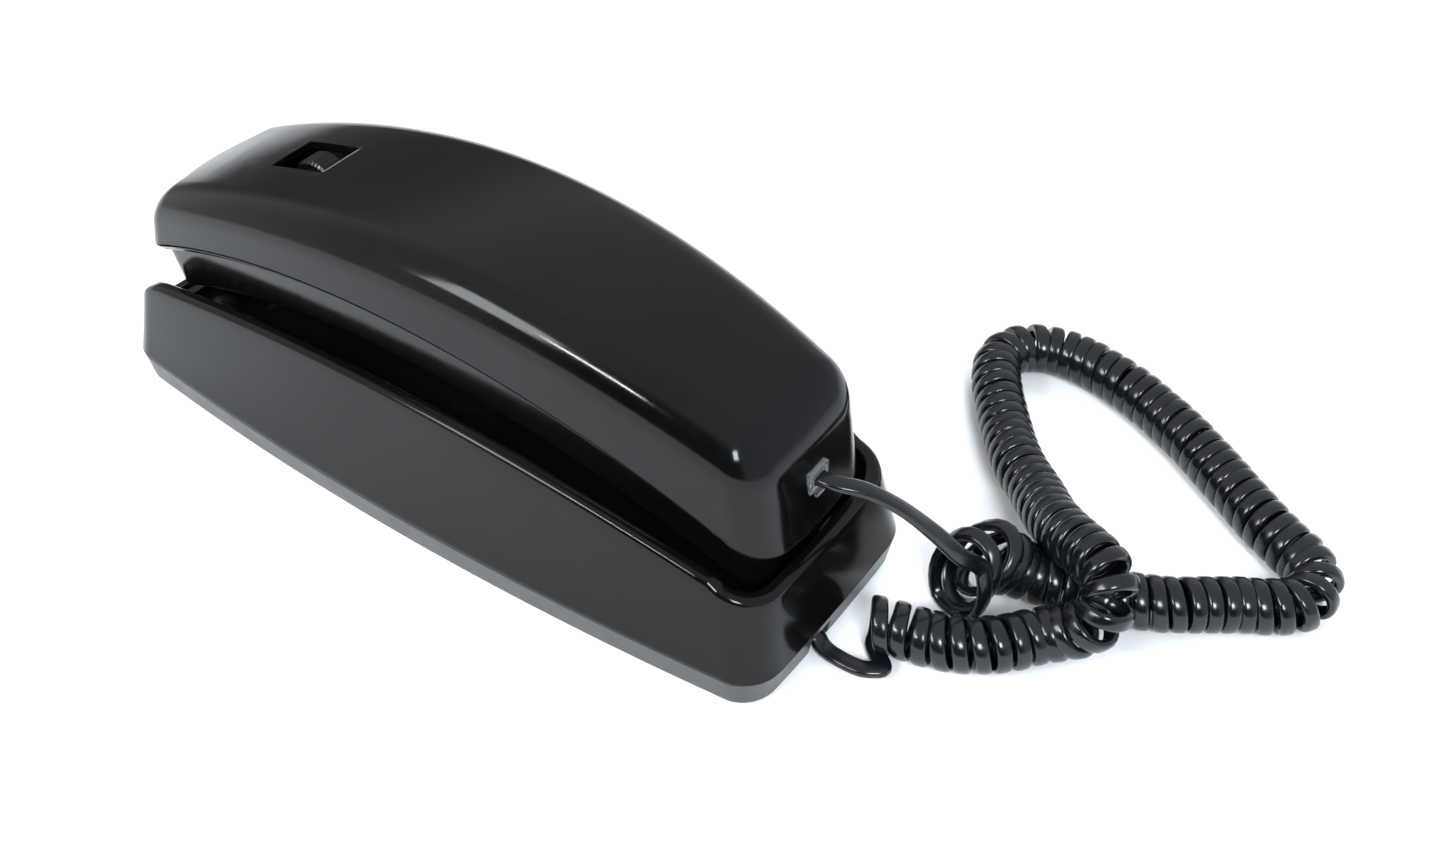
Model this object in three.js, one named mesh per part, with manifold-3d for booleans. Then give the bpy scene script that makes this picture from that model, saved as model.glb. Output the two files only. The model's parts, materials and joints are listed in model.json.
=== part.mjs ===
// A two-piece telephone: a long crowned handset with a rotary dial in its underside, lying face down on a
// boat-shaped cradle base, and the curly cord that joins them.
// Millimetres. +Z is up, -Y is the cord end, +Y the ear end, and X runs across. The origin is the centre of
// the base's footprint on the table.

import * as THREE from 'three';
import { mergeVertices } from 'three/addons/utils/BufferGeometryUtils.js';
import Module from 'manifold-3d';

// ---------------------------------------------------------------- driving dimensions

const GAP = 0.3;                    // clearance between neighbouring pieces

const BASE_HALF_LENGTH = 107.5;     // at the parting line, the base's widest level
const BASE_HALF_WIDTH = 40.3;       // at the middle of the base
const BASE_SIDE_BOW = 6.2;          // how much narrower the base is at its ends
const BASE_CORNER = 11;
const BASE_END_BOW = 0.8;
const FOOT_HEIGHT = 1;              // the pan stands this far off the table
const BASE_PARTING_Z = 9.6;
const PAN_TAPER = 2;                // how far the pan draws in towards its bottom
const WALL_DRAFT = 0.19;            // lean of the walls, per millimetre of height
const RIM_MIDDLE_Z = 44.5;
const RIM_END_DROP = 13.9;
const EAR_WALL_DROP = 10.5;         // the rim dips further along the ear end
const EAR_WALL_FROM_Y = 92;
const RIM_WIDTH = 4.3;
const RIM_ROUND = 1.5;
const WALL = 2.3;
const DECK_END_Z = 18.2;             // floor of the well, which rises to the middle
const DECK_MIDDLE_Z = 34;

const HANDSET_CORD_END = -100.8;
const HANDSET_EAR_END = 105;
const HANDSET_HALF_WIDTH = 29.25;
const HANDSET_WIDEST_Y = 12;
const HANDSET_SIDE_CURVE = 0.00052; // narrowing per square millimetre of distance from the widest place
const HANDSET_CORD_CORNER = 11;
const HANDSET_EAR_CORNER = 14;
const HANDSET_CORD_BOW = 1.6;
const HANDSET_EAR_BOW = 5.5;
const PARTING_ARC = { y: 5, top: 63.7, radius: 213 };
const CREST_ARC = { y: -8, top: 82.4, radius: 222 };
const EAR_FULLNESS = { from: 30, rise: 2.5 }; // the crest stands above its arc towards the ear end
const RIDGE_RADIUS = 10.2;
const CROWN = 0.5;                  // extra height of the back between its two ridges
const SHELL = 2.2;
const BAND_HEIGHT = 13;             // side band of the face shell
const BAND_INSET = 3.2;
const BAND_CORD_INSET = 3.8;        // the band draws in further at the ends, to drop inside the rim
const BAND_EAR_INSET = 7;
const FACE_ROUND = 3;               // rounding from the band into the flat face

const WINDOW = { y: 54.1, width: 13.8, length: 12.6, rim: 1.5 };
const THUMBWHEEL = { radius: 8.3, left: -1.6, right: 5.2, z: 64.6 };

const DIAL = { y: 5, wheelRadius: 21.5, holeRadius: 3.4, holeCircle: 16.2, holes: 10, pitch: 28 };
const DIAL_WHEEL_Z = 48.6;          // outer (lower) side of the finger wheel
const DIAL_WHEEL_THICK = 1.8;
const DIAL_WELL_RADIUS = 22.5;
const DIAL_BOWL_WALL = 1.6;
const DIAL_PLATE_Z = 50.9;
const DIAL_FLOOR_Z = 52.2;

const RECEIVER_Y = 65;
const MOUTHPIECE_Y = -60;
const CAP_RADIUS = 17.5;
const CAPSULE_RADIUS = 18.6;

const JACK_CENTRE_Z = 48;
const PLUG_WIDTH = 7.6;
const PLUG_HEIGHT = 6;
const PLUG_LENGTH = 11.7;
const HANDSET_PLUG_REAR_Y = -99.4;
const BASE_JACK = { x: -6, z: 6.8, mouthY: -98.6 };
const BASE_PLUG_REAR_Y = -101;

const CORD_WIDTH = 4.5;             // flat cord
const CORD_THICK = 2.5;
const COIL_RADIUS = 7.1;            // outside of the curly cord

// ---------------------------------------------------------------- routes of the cord, chosen by hand

const HANDSET_LEAD_ROUTE = [
  [0.3, -101.3, 48], [1.2, -104.4, 47.9], [3.9, -109.2, 46.6], [8.4, -115.8, 41.6], [13.2, -122.8, 33.6],
  [17.2, -128.6, 25.6], [20.4, -133, 18.6],
];
const COIL_ROUTE = [
  [22.6, -126.5, 9.6], [27, -127.8, 11.8], [31, -130, 12.4], [34, -134, 11.2], [36.6, -140, 9],
  [39.4, -147.2, 7.5], [42.4, -155.6, 7.2], [45.2, -164, 7.2], [49.2, -171.7, 7.2], [54.2, -178.8, 7.2],
  [59.2, -186, 7.2], [63.2, -192.6, 7.2], [68.6, -197.8, 7.2], [75.6, -198.4, 7.2], [81.2, -194.2, 7.2],
  [84.8, -187.6, 7.2], [88.8, -180.4, 7.2], [94, -172.4, 7.2], [100.4, -162.6, 7.2], [106.8, -152.4, 7.2],
  [112, -142.2, 7.2], [116, -133, 7.2], [118.8, -123.6, 7.2], [120.2, -113.4, 7.2], [119, -104.2, 7.2],
  [114.2, -97.2, 7.2], [107, -94.8, 7.2], [99.2, -97.6, 7.2], [91, -103, 7.2], [80.6, -110.8, 7.6],
  [69.6, -119.8, 9], [60.9, -128.8, 11.4], [51, -137.8, 15], [43.6, -146, 19], [38.8, -153, 21.8],
  [34.6, -158.9, 22.4], [30.6, -161.9, 20.4], [27.6, -161.9, 16.8], [25.8, -159.4, 12.8], [24.4, -155.3, 9.6],
  [21.4, -150.4, 7.6], [16.6, -146.2, 7.2], [12.3, -141.9, 7.2], [8.8, -137, 7.2], [6.3, -131.6, 7.2],
  [4.7, -126.4, 7.2], [3.4, -120.8, 7.2], [1.4, -115, 7.2],
];
const BASE_LEAD_ROUTE = [
  [-3.4, -124.4, 2.4], [-5.8, -123, 2.2], [-7.8, -119.4, 2.2], [-8.4, -114, 2.2], [-7.8, -108.6, 2.3],
  [-6.8, -105.8, 3.6], [-6.1, -103.2, 6.2], [-6, -101.4, 6.8],
];

// ---------------------------------------------------------------- solids

const wasm = await Module();
wasm.setup();

/** A closed three.js geometry as a manifold solid. */
function solid(geometry) {
  const bare = geometry.clone();
  bare.deleteAttribute('normal');
  bare.deleteAttribute('uv');
  const merged = mergeVertices(bare, 1e-4);
  return new wasm.Manifold(new wasm.Mesh({
    numProp: 3,
    vertProperties: new Float32Array(merged.attributes.position.array),
    triVerts: new Uint32Array(merged.index.array),
  }));
}

function geometryOf(body) {
  const { vertProperties, triVerts } = body.getMesh();
  const geometry = new THREE.BufferGeometry();
  geometry.setAttribute('position', new THREE.BufferAttribute(vertProperties, 3));
  geometry.setIndex(new THREE.BufferAttribute(triVerts, 1));
  return geometry;
}

/** A box from its two opposite corners. */
function box(low, high) {
  const geometry = new THREE.BoxGeometry(high[0] - low[0], high[1] - low[1], high[2] - low[2]);
  geometry.translate((low[0] + high[0]) / 2, (low[1] + high[1]) / 2, (low[2] + high[2]) / 2);
  return solid(geometry);
}

/** A cylinder or cone along +Z from z0 to z1 about (x, y). */
function post(x, y, z0, z1, radius, sides = 20, topRadius = radius) {
  const geometry = new THREE.CylinderGeometry(topRadius, radius, z1 - z0, sides);
  geometry.rotateX(Math.PI / 2);
  geometry.translate(x, y, (z0 + z1) / 2);
  return solid(geometry);
}

/** A cylinder along +X from x0 to x1 about (y, z). */
function barX(x0, x1, y, z, radius, sides = 20) {
  const geometry = new THREE.CylinderGeometry(radius, radius, x1 - x0, sides);
  geometry.rotateZ(-Math.PI / 2);
  geometry.translate((x0 + x1) / 2, y, z);
  return solid(geometry);
}

/** A turned piece: a closed profile of [radius, z] points about the Z axis through (x, y). */
function turned(profile, x, y, z, sides = 28) {
  const points = profile.map(([radius, height]) => new THREE.Vector2(radius, height));
  const geometry = new THREE.LatheGeometry(points, sides);
  geometry.rotateX(Math.PI / 2);
  geometry.translate(x, y, z);
  return solid(geometry);
}

/** An outline in X and Y drawn up from z0 to z1. */
function prism(points, z0, z1) {
  const shape = new THREE.Shape(points.map(([x, y]) => new THREE.Vector2(x, y)));
  const geometry = new THREE.ExtrudeGeometry(shape, { depth: z1 - z0, bevelEnabled: false });
  geometry.translate(0, 0, z0);
  return solid(geometry);
}

/** An outline in Y and Z drawn along X from x0 to x1. */
function prismX(points, x0, x1) {
  const shape = new THREE.Shape(points.map(([y, z]) => new THREE.Vector2(y, z)));
  const geometry = new THREE.ExtrudeGeometry(shape, { depth: x1 - x0, bevelEnabled: false });
  geometry.applyMatrix4(new THREE.Matrix4().set(0, 0, 1, x0, 1, 0, 0, 0, 0, 1, 0, 0, 0, 0, 0, 1));
  return solid(geometry);
}

/** A section drawn along a smooth curve through the route's points. */
function tube(route, section, steps) {
  const curve = new THREE.CatmullRomCurve3(route.map((point) => new THREE.Vector3(...point)), false, 'centripetal');
  const shape = new THREE.Shape(section);
  const geometry = new THREE.ExtrudeGeometry(shape, { steps, bevelEnabled: false, extrudePath: curve });
  return solid(geometry);
}

function ellipseSection(halfAlongX, halfAlongY, sides) {
  const points = [];
  for (let i = 0; i < sides; i += 1) {
    const angle = ((i + 0.5) / sides) * 2 * Math.PI;
    points.push(new THREE.Vector2(halfAlongX * Math.cos(angle), halfAlongY * Math.sin(angle)));
  }
  return points;
}

// ---------------------------------------------------------------- lofts between rounded outlines

/** Height of an arc, highest at arc.y, over a place along Y. */
function arcHeight(arc, y) {
  return arc.top - arc.radius + Math.sqrt(arc.radius ** 2 - (y - arc.y) ** 2);
}

/**
 * The right half of a long outline with bowed sides and rounded corners, from the middle of the cord end to
 * the middle of the ear end, then mirrored to close it. Each point is [x, y].
 */
function outline(form, inset = 0, cordInset = inset, earInset = inset) {
  const half = [];
  const sides = (y) => form.halfWidth(y) - inset;
  const end = (tip, direction, radius, endBow) => {
    const points = [];
    const cornerY = tip + direction * radius;
    const cornerX = sides(cornerY) - radius;
    const bow = (x) => direction * endBow * (x / sides(cornerY)) ** 2;
    for (const share of [0, 0.5]) points.push([cornerX * share, tip + bow(cornerX * share)]);
    for (let step = 0; step <= form.cornerSteps; step += 1) {
      const angle = (step / form.cornerSteps) * (Math.PI / 2);
      const rise = direction * radius * (1 - Math.cos(angle));
      const fade = bow(cornerX) * Math.cos(angle);
      points.push([cornerX + radius * Math.sin(angle), tip + rise + fade]);
    }
    return points;
  };
  const cordRadius = Math.max(form.cordCorner - inset, 1);
  const earRadius = Math.max(form.earCorner - inset, 1);
  const cordTip = form.cordEnd + cordInset;
  const earTip = form.earEnd - earInset;
  half.push(...end(cordTip, 1, cordRadius, form.cordBow));
  const from = cordTip + cordRadius;
  const to = earTip - earRadius;
  for (let step = 1; step < form.sideSteps; step += 1) {
    const y = from + ((to - from) * step) / form.sideSteps;
    half.push([sides(y), y]);
  }
  half.push(...end(earTip, -1, earRadius, form.earBow).reverse());
  const mirrored = half.slice(1, -1).reverse().map(([x, y]) => [-x, y]);
  return [...half, ...mirrored];
}

/** A closed body through rings of points, lowest first, each ring mirrored about x = 0. */
function ringLoft(rings) {
  const count = rings[0].length;
  const positions = rings.flat(2);
  const index = [];
  for (let ring = 0; ring < rings.length - 1; ring += 1) {
    for (let i = 0; i < count; i += 1) {
      const a = ring * count + i;
      const b = ring * count + ((i + 1) % count);
      index.push(a, b, b + count, a, b + count, a + count);
    }
  }
  const top = (rings.length - 1) * count;
  for (let i = 0; i < count / 2; i += 1) {
    const across = (count - i) % count;
    const next = count - i - 1;
    if (next !== i + 1) {
      index.push(i + 1, i, next);
      index.push(top + i, top + i + 1, top + next);
    }
    if (across !== i) {
      index.push(i, across, next);
      index.push(top + i, top + next, top + across);
    }
  }
  const geometry = new THREE.BufferGeometry();
  geometry.setAttribute('position', new THREE.Float32BufferAttribute(positions, 3));
  geometry.setIndex(index);
  return solid(geometry);
}

/** One ring of a loft: an outline lifted to a height that may vary along Y. */
function ring(form, height, inset = 0, cordInset = inset, earInset = inset) {
  return outline(form, inset, cordInset, earInset).map(([x, y]) => [x, y, height(y)]);
}

// ---------------------------------------------------------------- the base's forms

const BASE_FORM = {
  cordEnd: -BASE_HALF_LENGTH,
  earEnd: BASE_HALF_LENGTH,
  halfWidth: (y) => BASE_HALF_WIDTH - BASE_SIDE_BOW * (y / BASE_HALF_LENGTH) ** 2,
  cordCorner: BASE_CORNER,
  earCorner: BASE_CORNER,
  cordBow: BASE_END_BOW,
  earBow: BASE_END_BOW,
  cornerSteps: 5,
  sideSteps: 8,
};

const earDip = (y) => EAR_WALL_DROP * (Math.max(y - EAR_WALL_FROM_Y, 0) / (BASE_HALF_LENGTH - EAR_WALL_FROM_Y)) ** 3;
const rimHeight = (y) => RIM_MIDDLE_Z - RIM_END_DROP * (y / BASE_HALF_LENGTH) ** 2 - earDip(y);
const deckHeight = (y) => DECK_MIDDLE_Z - (DECK_MIDDLE_Z - DECK_END_Z) * (y / 95) ** 2;
const level = (z) => () => z;

/** A ring of the base's outer wall at a height, drawn in by the wall's lean. */
function wallRing(height, extraInset = 0) {
  const wallAt = (y) => WALL_DRAFT * (height(y) - BASE_PARTING_Z) + extraInset;
  const form = { ...BASE_FORM, halfWidth: (y) => BASE_FORM.halfWidth(y) - wallAt(y) };
  form.cordCorner -= extraInset;
  form.earCorner -= extraInset;
  return ring(form, height, 0, wallAt(-BASE_HALF_LENGTH), wallAt(BASE_HALF_LENGTH));
}

/** The same near the rim, where inner and outer edges stay level with each other round the ends. */
function rimRing(below, extraInset = 0) {
  const outer = outline(BASE_FORM);
  return wallRing((y) => rimHeight(y) - below, extraInset)
    .map(([x, y], i) => [x, y, rimHeight(outer[i][1]) - below]);
}

function baseOuter() {
  return ringLoft([
    wallRing(level(BASE_PARTING_Z)),
    rimRing(RIM_ROUND),
    rimRing(RIM_ROUND * 0.3, RIM_ROUND * 0.3),
    rimRing(0, RIM_ROUND),
  ]);
}

/** The hollow that the handset drops into; grown gives the same hollow with thicker walls round it. */
function baseWell(grown = 0) {
  const lip = RIM_WIDTH - grown;
  const drawIn = 1.2;
  const rings = [
    wallRing((y) => deckHeight(y) - grown, lip + drawIn + WALL_DRAFT * (RIM_MIDDLE_Z - DECK_MIDDLE_Z)),
    rimRing(RIM_ROUND * 0.8, lip),
    rimRing(RIM_ROUND * 0.2, lip - RIM_ROUND * 0.25),
    rimRing(-0.05, lip - RIM_ROUND),
    rimRing(-3, lip - RIM_ROUND),
  ];
  return ringLoft(grown > 0 ? rings.slice(0, 2) : rings);
}

function baseCavity() {
  return ringLoft([
    wallRing(level(BASE_PARTING_Z - 1), WALL),
    rimRing(3, WALL),
  ]);
}

// ---------------------------------------------------------------- the handset's forms

const HANDSET_FORM = {
  cordEnd: HANDSET_CORD_END,
  earEnd: HANDSET_EAR_END,
  halfWidth: (y) => HANDSET_HALF_WIDTH - HANDSET_SIDE_CURVE * (y - HANDSET_WIDEST_Y) ** 2,
  cordCorner: HANDSET_CORD_CORNER,
  earCorner: HANDSET_EAR_CORNER,
  cordBow: HANDSET_CORD_BOW,
  earBow: HANDSET_EAR_BOW,
  cornerSteps: 5,
  sideSteps: 10,
};

const partingHeight = (y) => arcHeight(PARTING_ARC, y);
const earRise = (y) => EAR_FULLNESS.rise * (Math.max(y - EAR_FULLNESS.from, 0) / 80) ** 2;
const crestHeight = (y) => arcHeight(CREST_ARC, y) + earRise(y);
const faceHeight = (y) => partingHeight(y) - BAND_HEIGHT - FACE_ROUND;

/** The handset's back above the parting line, or the hollow inside it when thickness is given. */
function handsetBack(thickness = 0, foot = GAP / 2) {
  const radius = RIDGE_RADIUS - thickness;
  const sideLean = 0.8;
  const cordLean = 3.1;
  const earLean = 1;
  const crest = (y) => crestHeight(y) - thickness;
  const rings = [
    ring(HANDSET_FORM, (y) => partingHeight(y) + foot, thickness),
    ring(HANDSET_FORM, (y) => crest(y) - radius, thickness + sideLean, thickness + cordLean, thickness + earLean),
  ];
  for (const degrees of [18, 36, 54, 72]) {
    const angle = THREE.MathUtils.degToRad(degrees);
    const inward = radius * (1 - Math.cos(angle)) + thickness;
    const drop = radius * (1 - Math.sin(angle));
    rings.push(ring(HANDSET_FORM, (y) => crest(y) - drop, inward + sideLean, inward + cordLean, inward + earLean));
  }
  const topInset = radius + thickness + 4;
  rings.push(ring(HANDSET_FORM, (y) => crest(y) + CROWN, topInset, topInset + 2, topInset));
  return ringLoft(rings);
}

/** The handset's face below the parting line, or the hollow inside it when thickness is given. */
function handsetFace(thickness = 0, head = -GAP / 2) {
  const bandRing = (height, share, extra) => ring(
    HANDSET_FORM, height, BAND_INSET * share + extra, BAND_CORD_INSET * share + extra,
    BAND_EAR_INSET * share + extra,
  );
  return ringLoft([
    bandRing((y) => faceHeight(y) + thickness, 1, FACE_ROUND + thickness),
    bandRing((y) => faceHeight(y) + thickness + FACE_ROUND * 0.3, 1, 0.7 + thickness),
    bandRing((y) => partingHeight(y) - BAND_HEIGHT + 0.4, 1, thickness),
    bandRing((y) => partingHeight(y) - 2.6, 0.7, thickness),
    bandRing((y) => partingHeight(y) + head, 0, thickness),
  ]);
}

/** A turned piece that looks out of the face at a place along Y, square to the face there. */
function onFace(profile, y, sides = 28) {
  const slope = -(y - PARTING_ARC.y) / PARTING_ARC.radius;
  const body = turned(profile, 0, 0, 0, sides);
  return body.rotate([THREE.MathUtils.radToDeg(Math.asin(slope)), 0, 0]).translate([0, y, faceHeight(y)]);
}

// ---------------------------------------------------------------- base pieces

const SCREW_PLACES = [[-25, -66], [25, -66], [-25, 64], [25, 64]];
const LINE_JACK_CUT = box([-6.4, 98, 3.1], [6.4, 112, 12.5]);
const FOOT_PLACES = [[-24, -86], [24, -86], [-24, 86], [24, 86]];
const PLUNGER = { x: 0, y: -34, radius: 3.4 };
const PAN_FLOOR = 2;
const JACK_DEPTH = 14.5;
const HANDSET_RESTS = [[-10, -82], [10, -82], [-10, 86], [10, 86]];

function screwBosses() {
  return SCREW_PLACES.map(([x, y]) => post(x, y, 8.2, deckHeight(y) - 1, 3.6, 12)
    .subtract(post(x, y, 8, 20, 1.5, 10)));
}

function cradleRests() {
  return HANDSET_RESTS.map(([x, y]) => {
    const foot = deckHeight(y) - 2;
    const near = faceHeight(y - 4) - GAP;
    const far = faceHeight(y + 4) - GAP;
    return prismX([[y - 4, foot], [y + 4, foot], [y + 4, far], [y - 4, near]], x - 4, x + 4);
  });
}

function baseHousing() {
  let body = baseOuter().subtract(baseWell());
  body = body.subtract(baseCavity().subtract(baseWell(WALL)));
  for (const boss of screwBosses()) body = body.add(boss);
  for (const rest of cradleRests()) body = body.add(rest);
  body = body.subtract(post(PLUNGER.x, PLUNGER.y, 20, 60, PLUNGER.radius + GAP, 16));
  return body.subtract(LINE_JACK_CUT);
}

function basePan() {
  const top = BASE_PARTING_Z - GAP;
  let body = ringLoft([
    ring(BASE_FORM, level(FOOT_HEIGHT), PAN_TAPER),
    ring(BASE_FORM, level(FOOT_HEIGHT + 0.6), PAN_TAPER - 0.5),
    ring(BASE_FORM, level(top), 0.2),
  ]);
  body = body.subtract(ringLoft([
    ring(BASE_FORM, level(FOOT_HEIGHT + PAN_FLOOR), PAN_TAPER + WALL),
    ring(BASE_FORM, level(top + 1), WALL),
  ]));
  for (const [x, y] of FOOT_PLACES) body = body.subtract(post(x, y, 0, 1.8, 5.3, 16));
  for (const [x, y] of SCREW_PLACES) {
    body = body.add(post(x, y, 2, 7.9, 4.4, 12));
    body = body.subtract(post(x, y, 0, 4, 3.2, 12)).subtract(post(x, y, 0, 9, 1.7, 10));
  }
  const { x, mouthY } = BASE_JACK;
  body = body.subtract(box([x - 5.9, mouthY - GAP, 0], [x + 5.9, mouthY + JACK_DEPTH + GAP, 20]));
  body = body.subtract(box([x - 4.8, mouthY - 6.4, 0], [x + 3.2, mouthY, 20]));
  body = body.subtract(box([x - 4.8, -112, 0], [x + 3.2, mouthY, 6.4]));
  body = body.subtract(LINE_JACK_CUT);
  body = body.subtract(box([-2, 66, 0], [2, 76, 4]));
  return body;
}

function foot(x, y) {
  return turned([[0, 0], [4.4, 0], [5, 0.5], [5, 1.5], [0, 1.5]], x, y, 0, 16);
}

function panScrew(x, y) {
  const head = turned([[0, 2.2], [2.8, 2.2], [2.8, 3.7], [1.3, 3.7], [1.3, 16], [0, 16]], x, y, 0, 12);
  return head.subtract(box([x - 0.35, y - 2, 1], [x + 0.35, y + 2, 2.9]));
}

function hookPlunger() {
  const { x, y, radius } = PLUNGER;
  const top = faceHeight(y - radius) - GAP;
  return turned([
    [0, 23.2], [radius + 1.8, 23.2], [radius + 1.8, 25], [radius, 25], [radius, top - 1.2],
    [radius - 1.2, top], [0, top],
  ], x, y, 0, 16);
}

function plungerSpring() {
  return turned([[2, 16.6], [3.4, 16.6], [3.4, 22.9], [2, 22.9], [2, 16.6]], PLUNGER.x, PLUNGER.y, 0, 14);
}

function hookSwitch() {
  const { x, y } = PLUNGER;
  const body = box([x - 8, y - 4.5, 9.2], [x + 8, y + 4.5, 16.2]);
  return body.add(box([x - 7, y - 1, 8.7], [x - 6, y + 1, 9.4])).add(box([x + 6, y - 1, 8.7], [x + 7, y + 1, 9.4]));
}

const GONG = { x: 0, y: 38, radius: 21 };

function ringerGong() {
  const { x, y, radius } = GONG;
  return turned([
    [2, 21.4], [11.8, 21], [16.8, 19], [radius - 1.7, 15], [radius - 1.1, 10], [radius, 10],
    [radius - 0.6, 15.6], [17.5, 20], [12, 22.2], [2, 22.6], [2, 21.4],
  ], x, y, 0, 30);
}

function gongPost() {
  return turned([[0, 3.3], [5, 3.3], [5, 5], [3, 5], [3, 21.1], [0, 21.1]], GONG.x, GONG.y, 0, 14);
}

function gongScrew() {
  return turned([
    [0, 21.4], [1.7, 21.4], [1.7, 22.9], [4, 22.9], [4, 24], [2.8, 24.8], [0, 24.8],
  ], GONG.x, GONG.y, 0, 14);
}

const CLAPPER = { x: -16, y: 4 };

function clapper() {
  const { x, y } = CLAPPER;
  const arm = box([x - 0.9, y + 3, 12], [x + 0.9, y + 12, 13.6]);
  const head = new THREE.SphereGeometry(2.1, 10, 8);
  head.rotateX(Math.PI / 2);
  head.translate(x, y + 13.4, 12.8);
  const hub = post(x, y, 11, 15, 3.4, 14).subtract(post(x, y, 10, 16, 1.4, 12));
  return hub.add(arm).add(solid(head));
}

function clapperPin() {
  return turned([[0, 3.3], [3, 3.3], [3, 10.6], [1.1, 10.6], [1.1, 17], [0, 17]], CLAPPER.x, CLAPPER.y, 0, 12);
}

function ringerCoil() {
  return barX(-6, 14, 4, 11.4, 6.4, 18).subtract(barX(-7, 15, 4, 11.4, 2.3, 12));
}

function ringerCore() {
  const core = barX(-7.4, 15.6, 4, 11.4, 2, 12);
  return core.add(box([15, -3, 3.3], [17, 11, 16])).add(box([-8.9, 0, 7], [-7.2, 8, 16]));
}

function networkBoard() {
  let board = box([-22, -62, 6.9], [22, -12, 8.5]);
  for (const [x, y] of [[-18, -58], [18, -16]]) board = board.subtract(post(x, y, 6, 10, 1.6, 10));
  return board;
}

function boardPosts() {
  return [[-18, -58], [18, -16]].map(([x, y]) => post(x, y, 3.3, 6.6, 2.6, 10).add(post(x, y, 6, 9.6, 1.2, 10)));
}

function transformer() {
  const core = box([8, -56, 8.8], [21, -41, 20]);
  return core.add(box([9.6, -58.4, 10.4], [19.4, -38.6, 18.4]));
}

function capacitor() {
  return barX(-20, -8, -54, 13.2, 4.3, 16);
}

function loudnessSwitch() {
  return box([-5, 63, 4.6], [5, 79, 9]);
}

function loudnessSlider() {
  return box([-1.6, 69.2, 0.5], [1.6, 72.8, 2.7]).add(box([-2.8, 68, 3.2], [2.8, 74, 4.3]))
    .add(box([-1.6, 69.2, 2.6], [1.6, 72.8, 3.3]));
}

/** A modular socket about x = 0, its mouth towards -Y at mouthY, with an open slot below for the latch. */
function modularJack(mouthY, z, halfWidth, below) {
  const half = PLUG_WIDTH / 2 + GAP;
  const back = mouthY + JACK_DEPTH - 1.6;
  const low = z - PLUG_HEIGHT / 2 - GAP;
  const high = z + PLUG_HEIGHT / 2 + GAP;
  return box([-halfWidth, mouthY, z - below], [halfWidth, mouthY + JACK_DEPTH, z + PLUG_HEIGHT / 2 + 1.7])
    .subtract(box([-half, mouthY - 1, low], [half, back, high]))
    .subtract(box([-2, mouthY - 1, z - below - 1], [2, back, z]));
}

function baseCordJack() {
  return modularJack(BASE_JACK.mouthY, BASE_JACK.z, 5.6, 5.6).translate([BASE_JACK.x, 0, 0]);
}

/** The wall line's socket in the ear end, its mouth towards +Y. */
function lineJack() {
  return box([-6, 92.4, 3.4], [6, 106.2, 12.2])
    .subtract(box([-4.2, 94, 4.6], [4.2, 108, 11.2]));
}

/** A modular plug with its nose towards +Y: a body with a cord channel, and a latch tab under it. */
function modularPlug(rearY, z) {
  const half = PLUG_WIDTH / 2;
  const low = z - PLUG_HEIGHT / 2;
  const high = z + PLUG_HEIGHT / 2;
  const nose = rearY + PLUG_LENGTH;
  let body = box([-half, rearY, low], [half, nose, high]);
  for (const contact of [-1.5, -0.5, 0.5, 1.5]) {
    body = body.subtract(box([contact - 0.2, nose - 3.4, high - 1.4], [contact + 0.2, nose + 1, high + 1]));
  }
  const latch = prismX([
    [nose - 1.2, low + 0.4], [nose - 1.2, low - 0.2], [rearY + 3.6, low - 1.7], [rearY - 0.6, low - 1.7],
    [rearY - 0.6, low - 0.8], [rearY + 3.6, low - 0.8], [nose - 3, low + 0.4],
  ], -1.6, 1.6);
  return body.add(latch);
}

function basePlug() {
  return modularPlug(BASE_PLUG_REAR_Y, BASE_JACK.z).translate([BASE_JACK.x, 0, 0]);
}

function ballastPlate() {
  return box([-20, 79, 3.3], [20, 91.8, 8]);
}

// ---------------------------------------------------------------- handset pieces

const HANDSET_SCREWS = [-85, 89.5];
const HANDSET_JACK_MOUTH_Y = -95.3;

/** The thumbwheel's window: straight through, with sloped rims at its two ends. */
function windowCut() {
  const { y, width, length, rim } = WINDOW;
  const top = crestHeight(y) + CROWN;
  const halfLength = length / 2;
  const halfWidth = width / 2;
  const through = box([-halfWidth, y - halfLength, top - 6], [halfWidth, y + halfLength, top + 6]);
  const slopes = prismX([
    [y - halfLength - rim - 0.8, top + 2.6], [y - halfLength, top - 2.4], [y + halfLength, top - 3.6],
    [y + halfLength + rim, top + 0.4], [y + halfLength + rim, top + 2.6],
  ], -halfWidth - 0.01, halfWidth + 0.01);
  return through.add(slopes);
}

function handsetScrewBosses() {
  return HANDSET_SCREWS.map((y) => post(0, y, faceHeight(y) + 1, partingHeight(y) - 1, 3.4, 12));
}

function handsetBackShell() {
  let body = handsetBack().subtract(handsetBack(SHELL, -2));
  body = body.subtract(windowCut());
  const half = PLUG_WIDTH / 2 + GAP;
  const low = JACK_CENTRE_Z - PLUG_HEIGHT / 2 - GAP;
  const high = JACK_CENTRE_Z + PLUG_HEIGHT / 2 + GAP;
  return body.subtract(box([-half, -108, low], [half, -90, high])).subtract(box([-2, -108, low - 2.2], [2, -90, high]));
}

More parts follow.
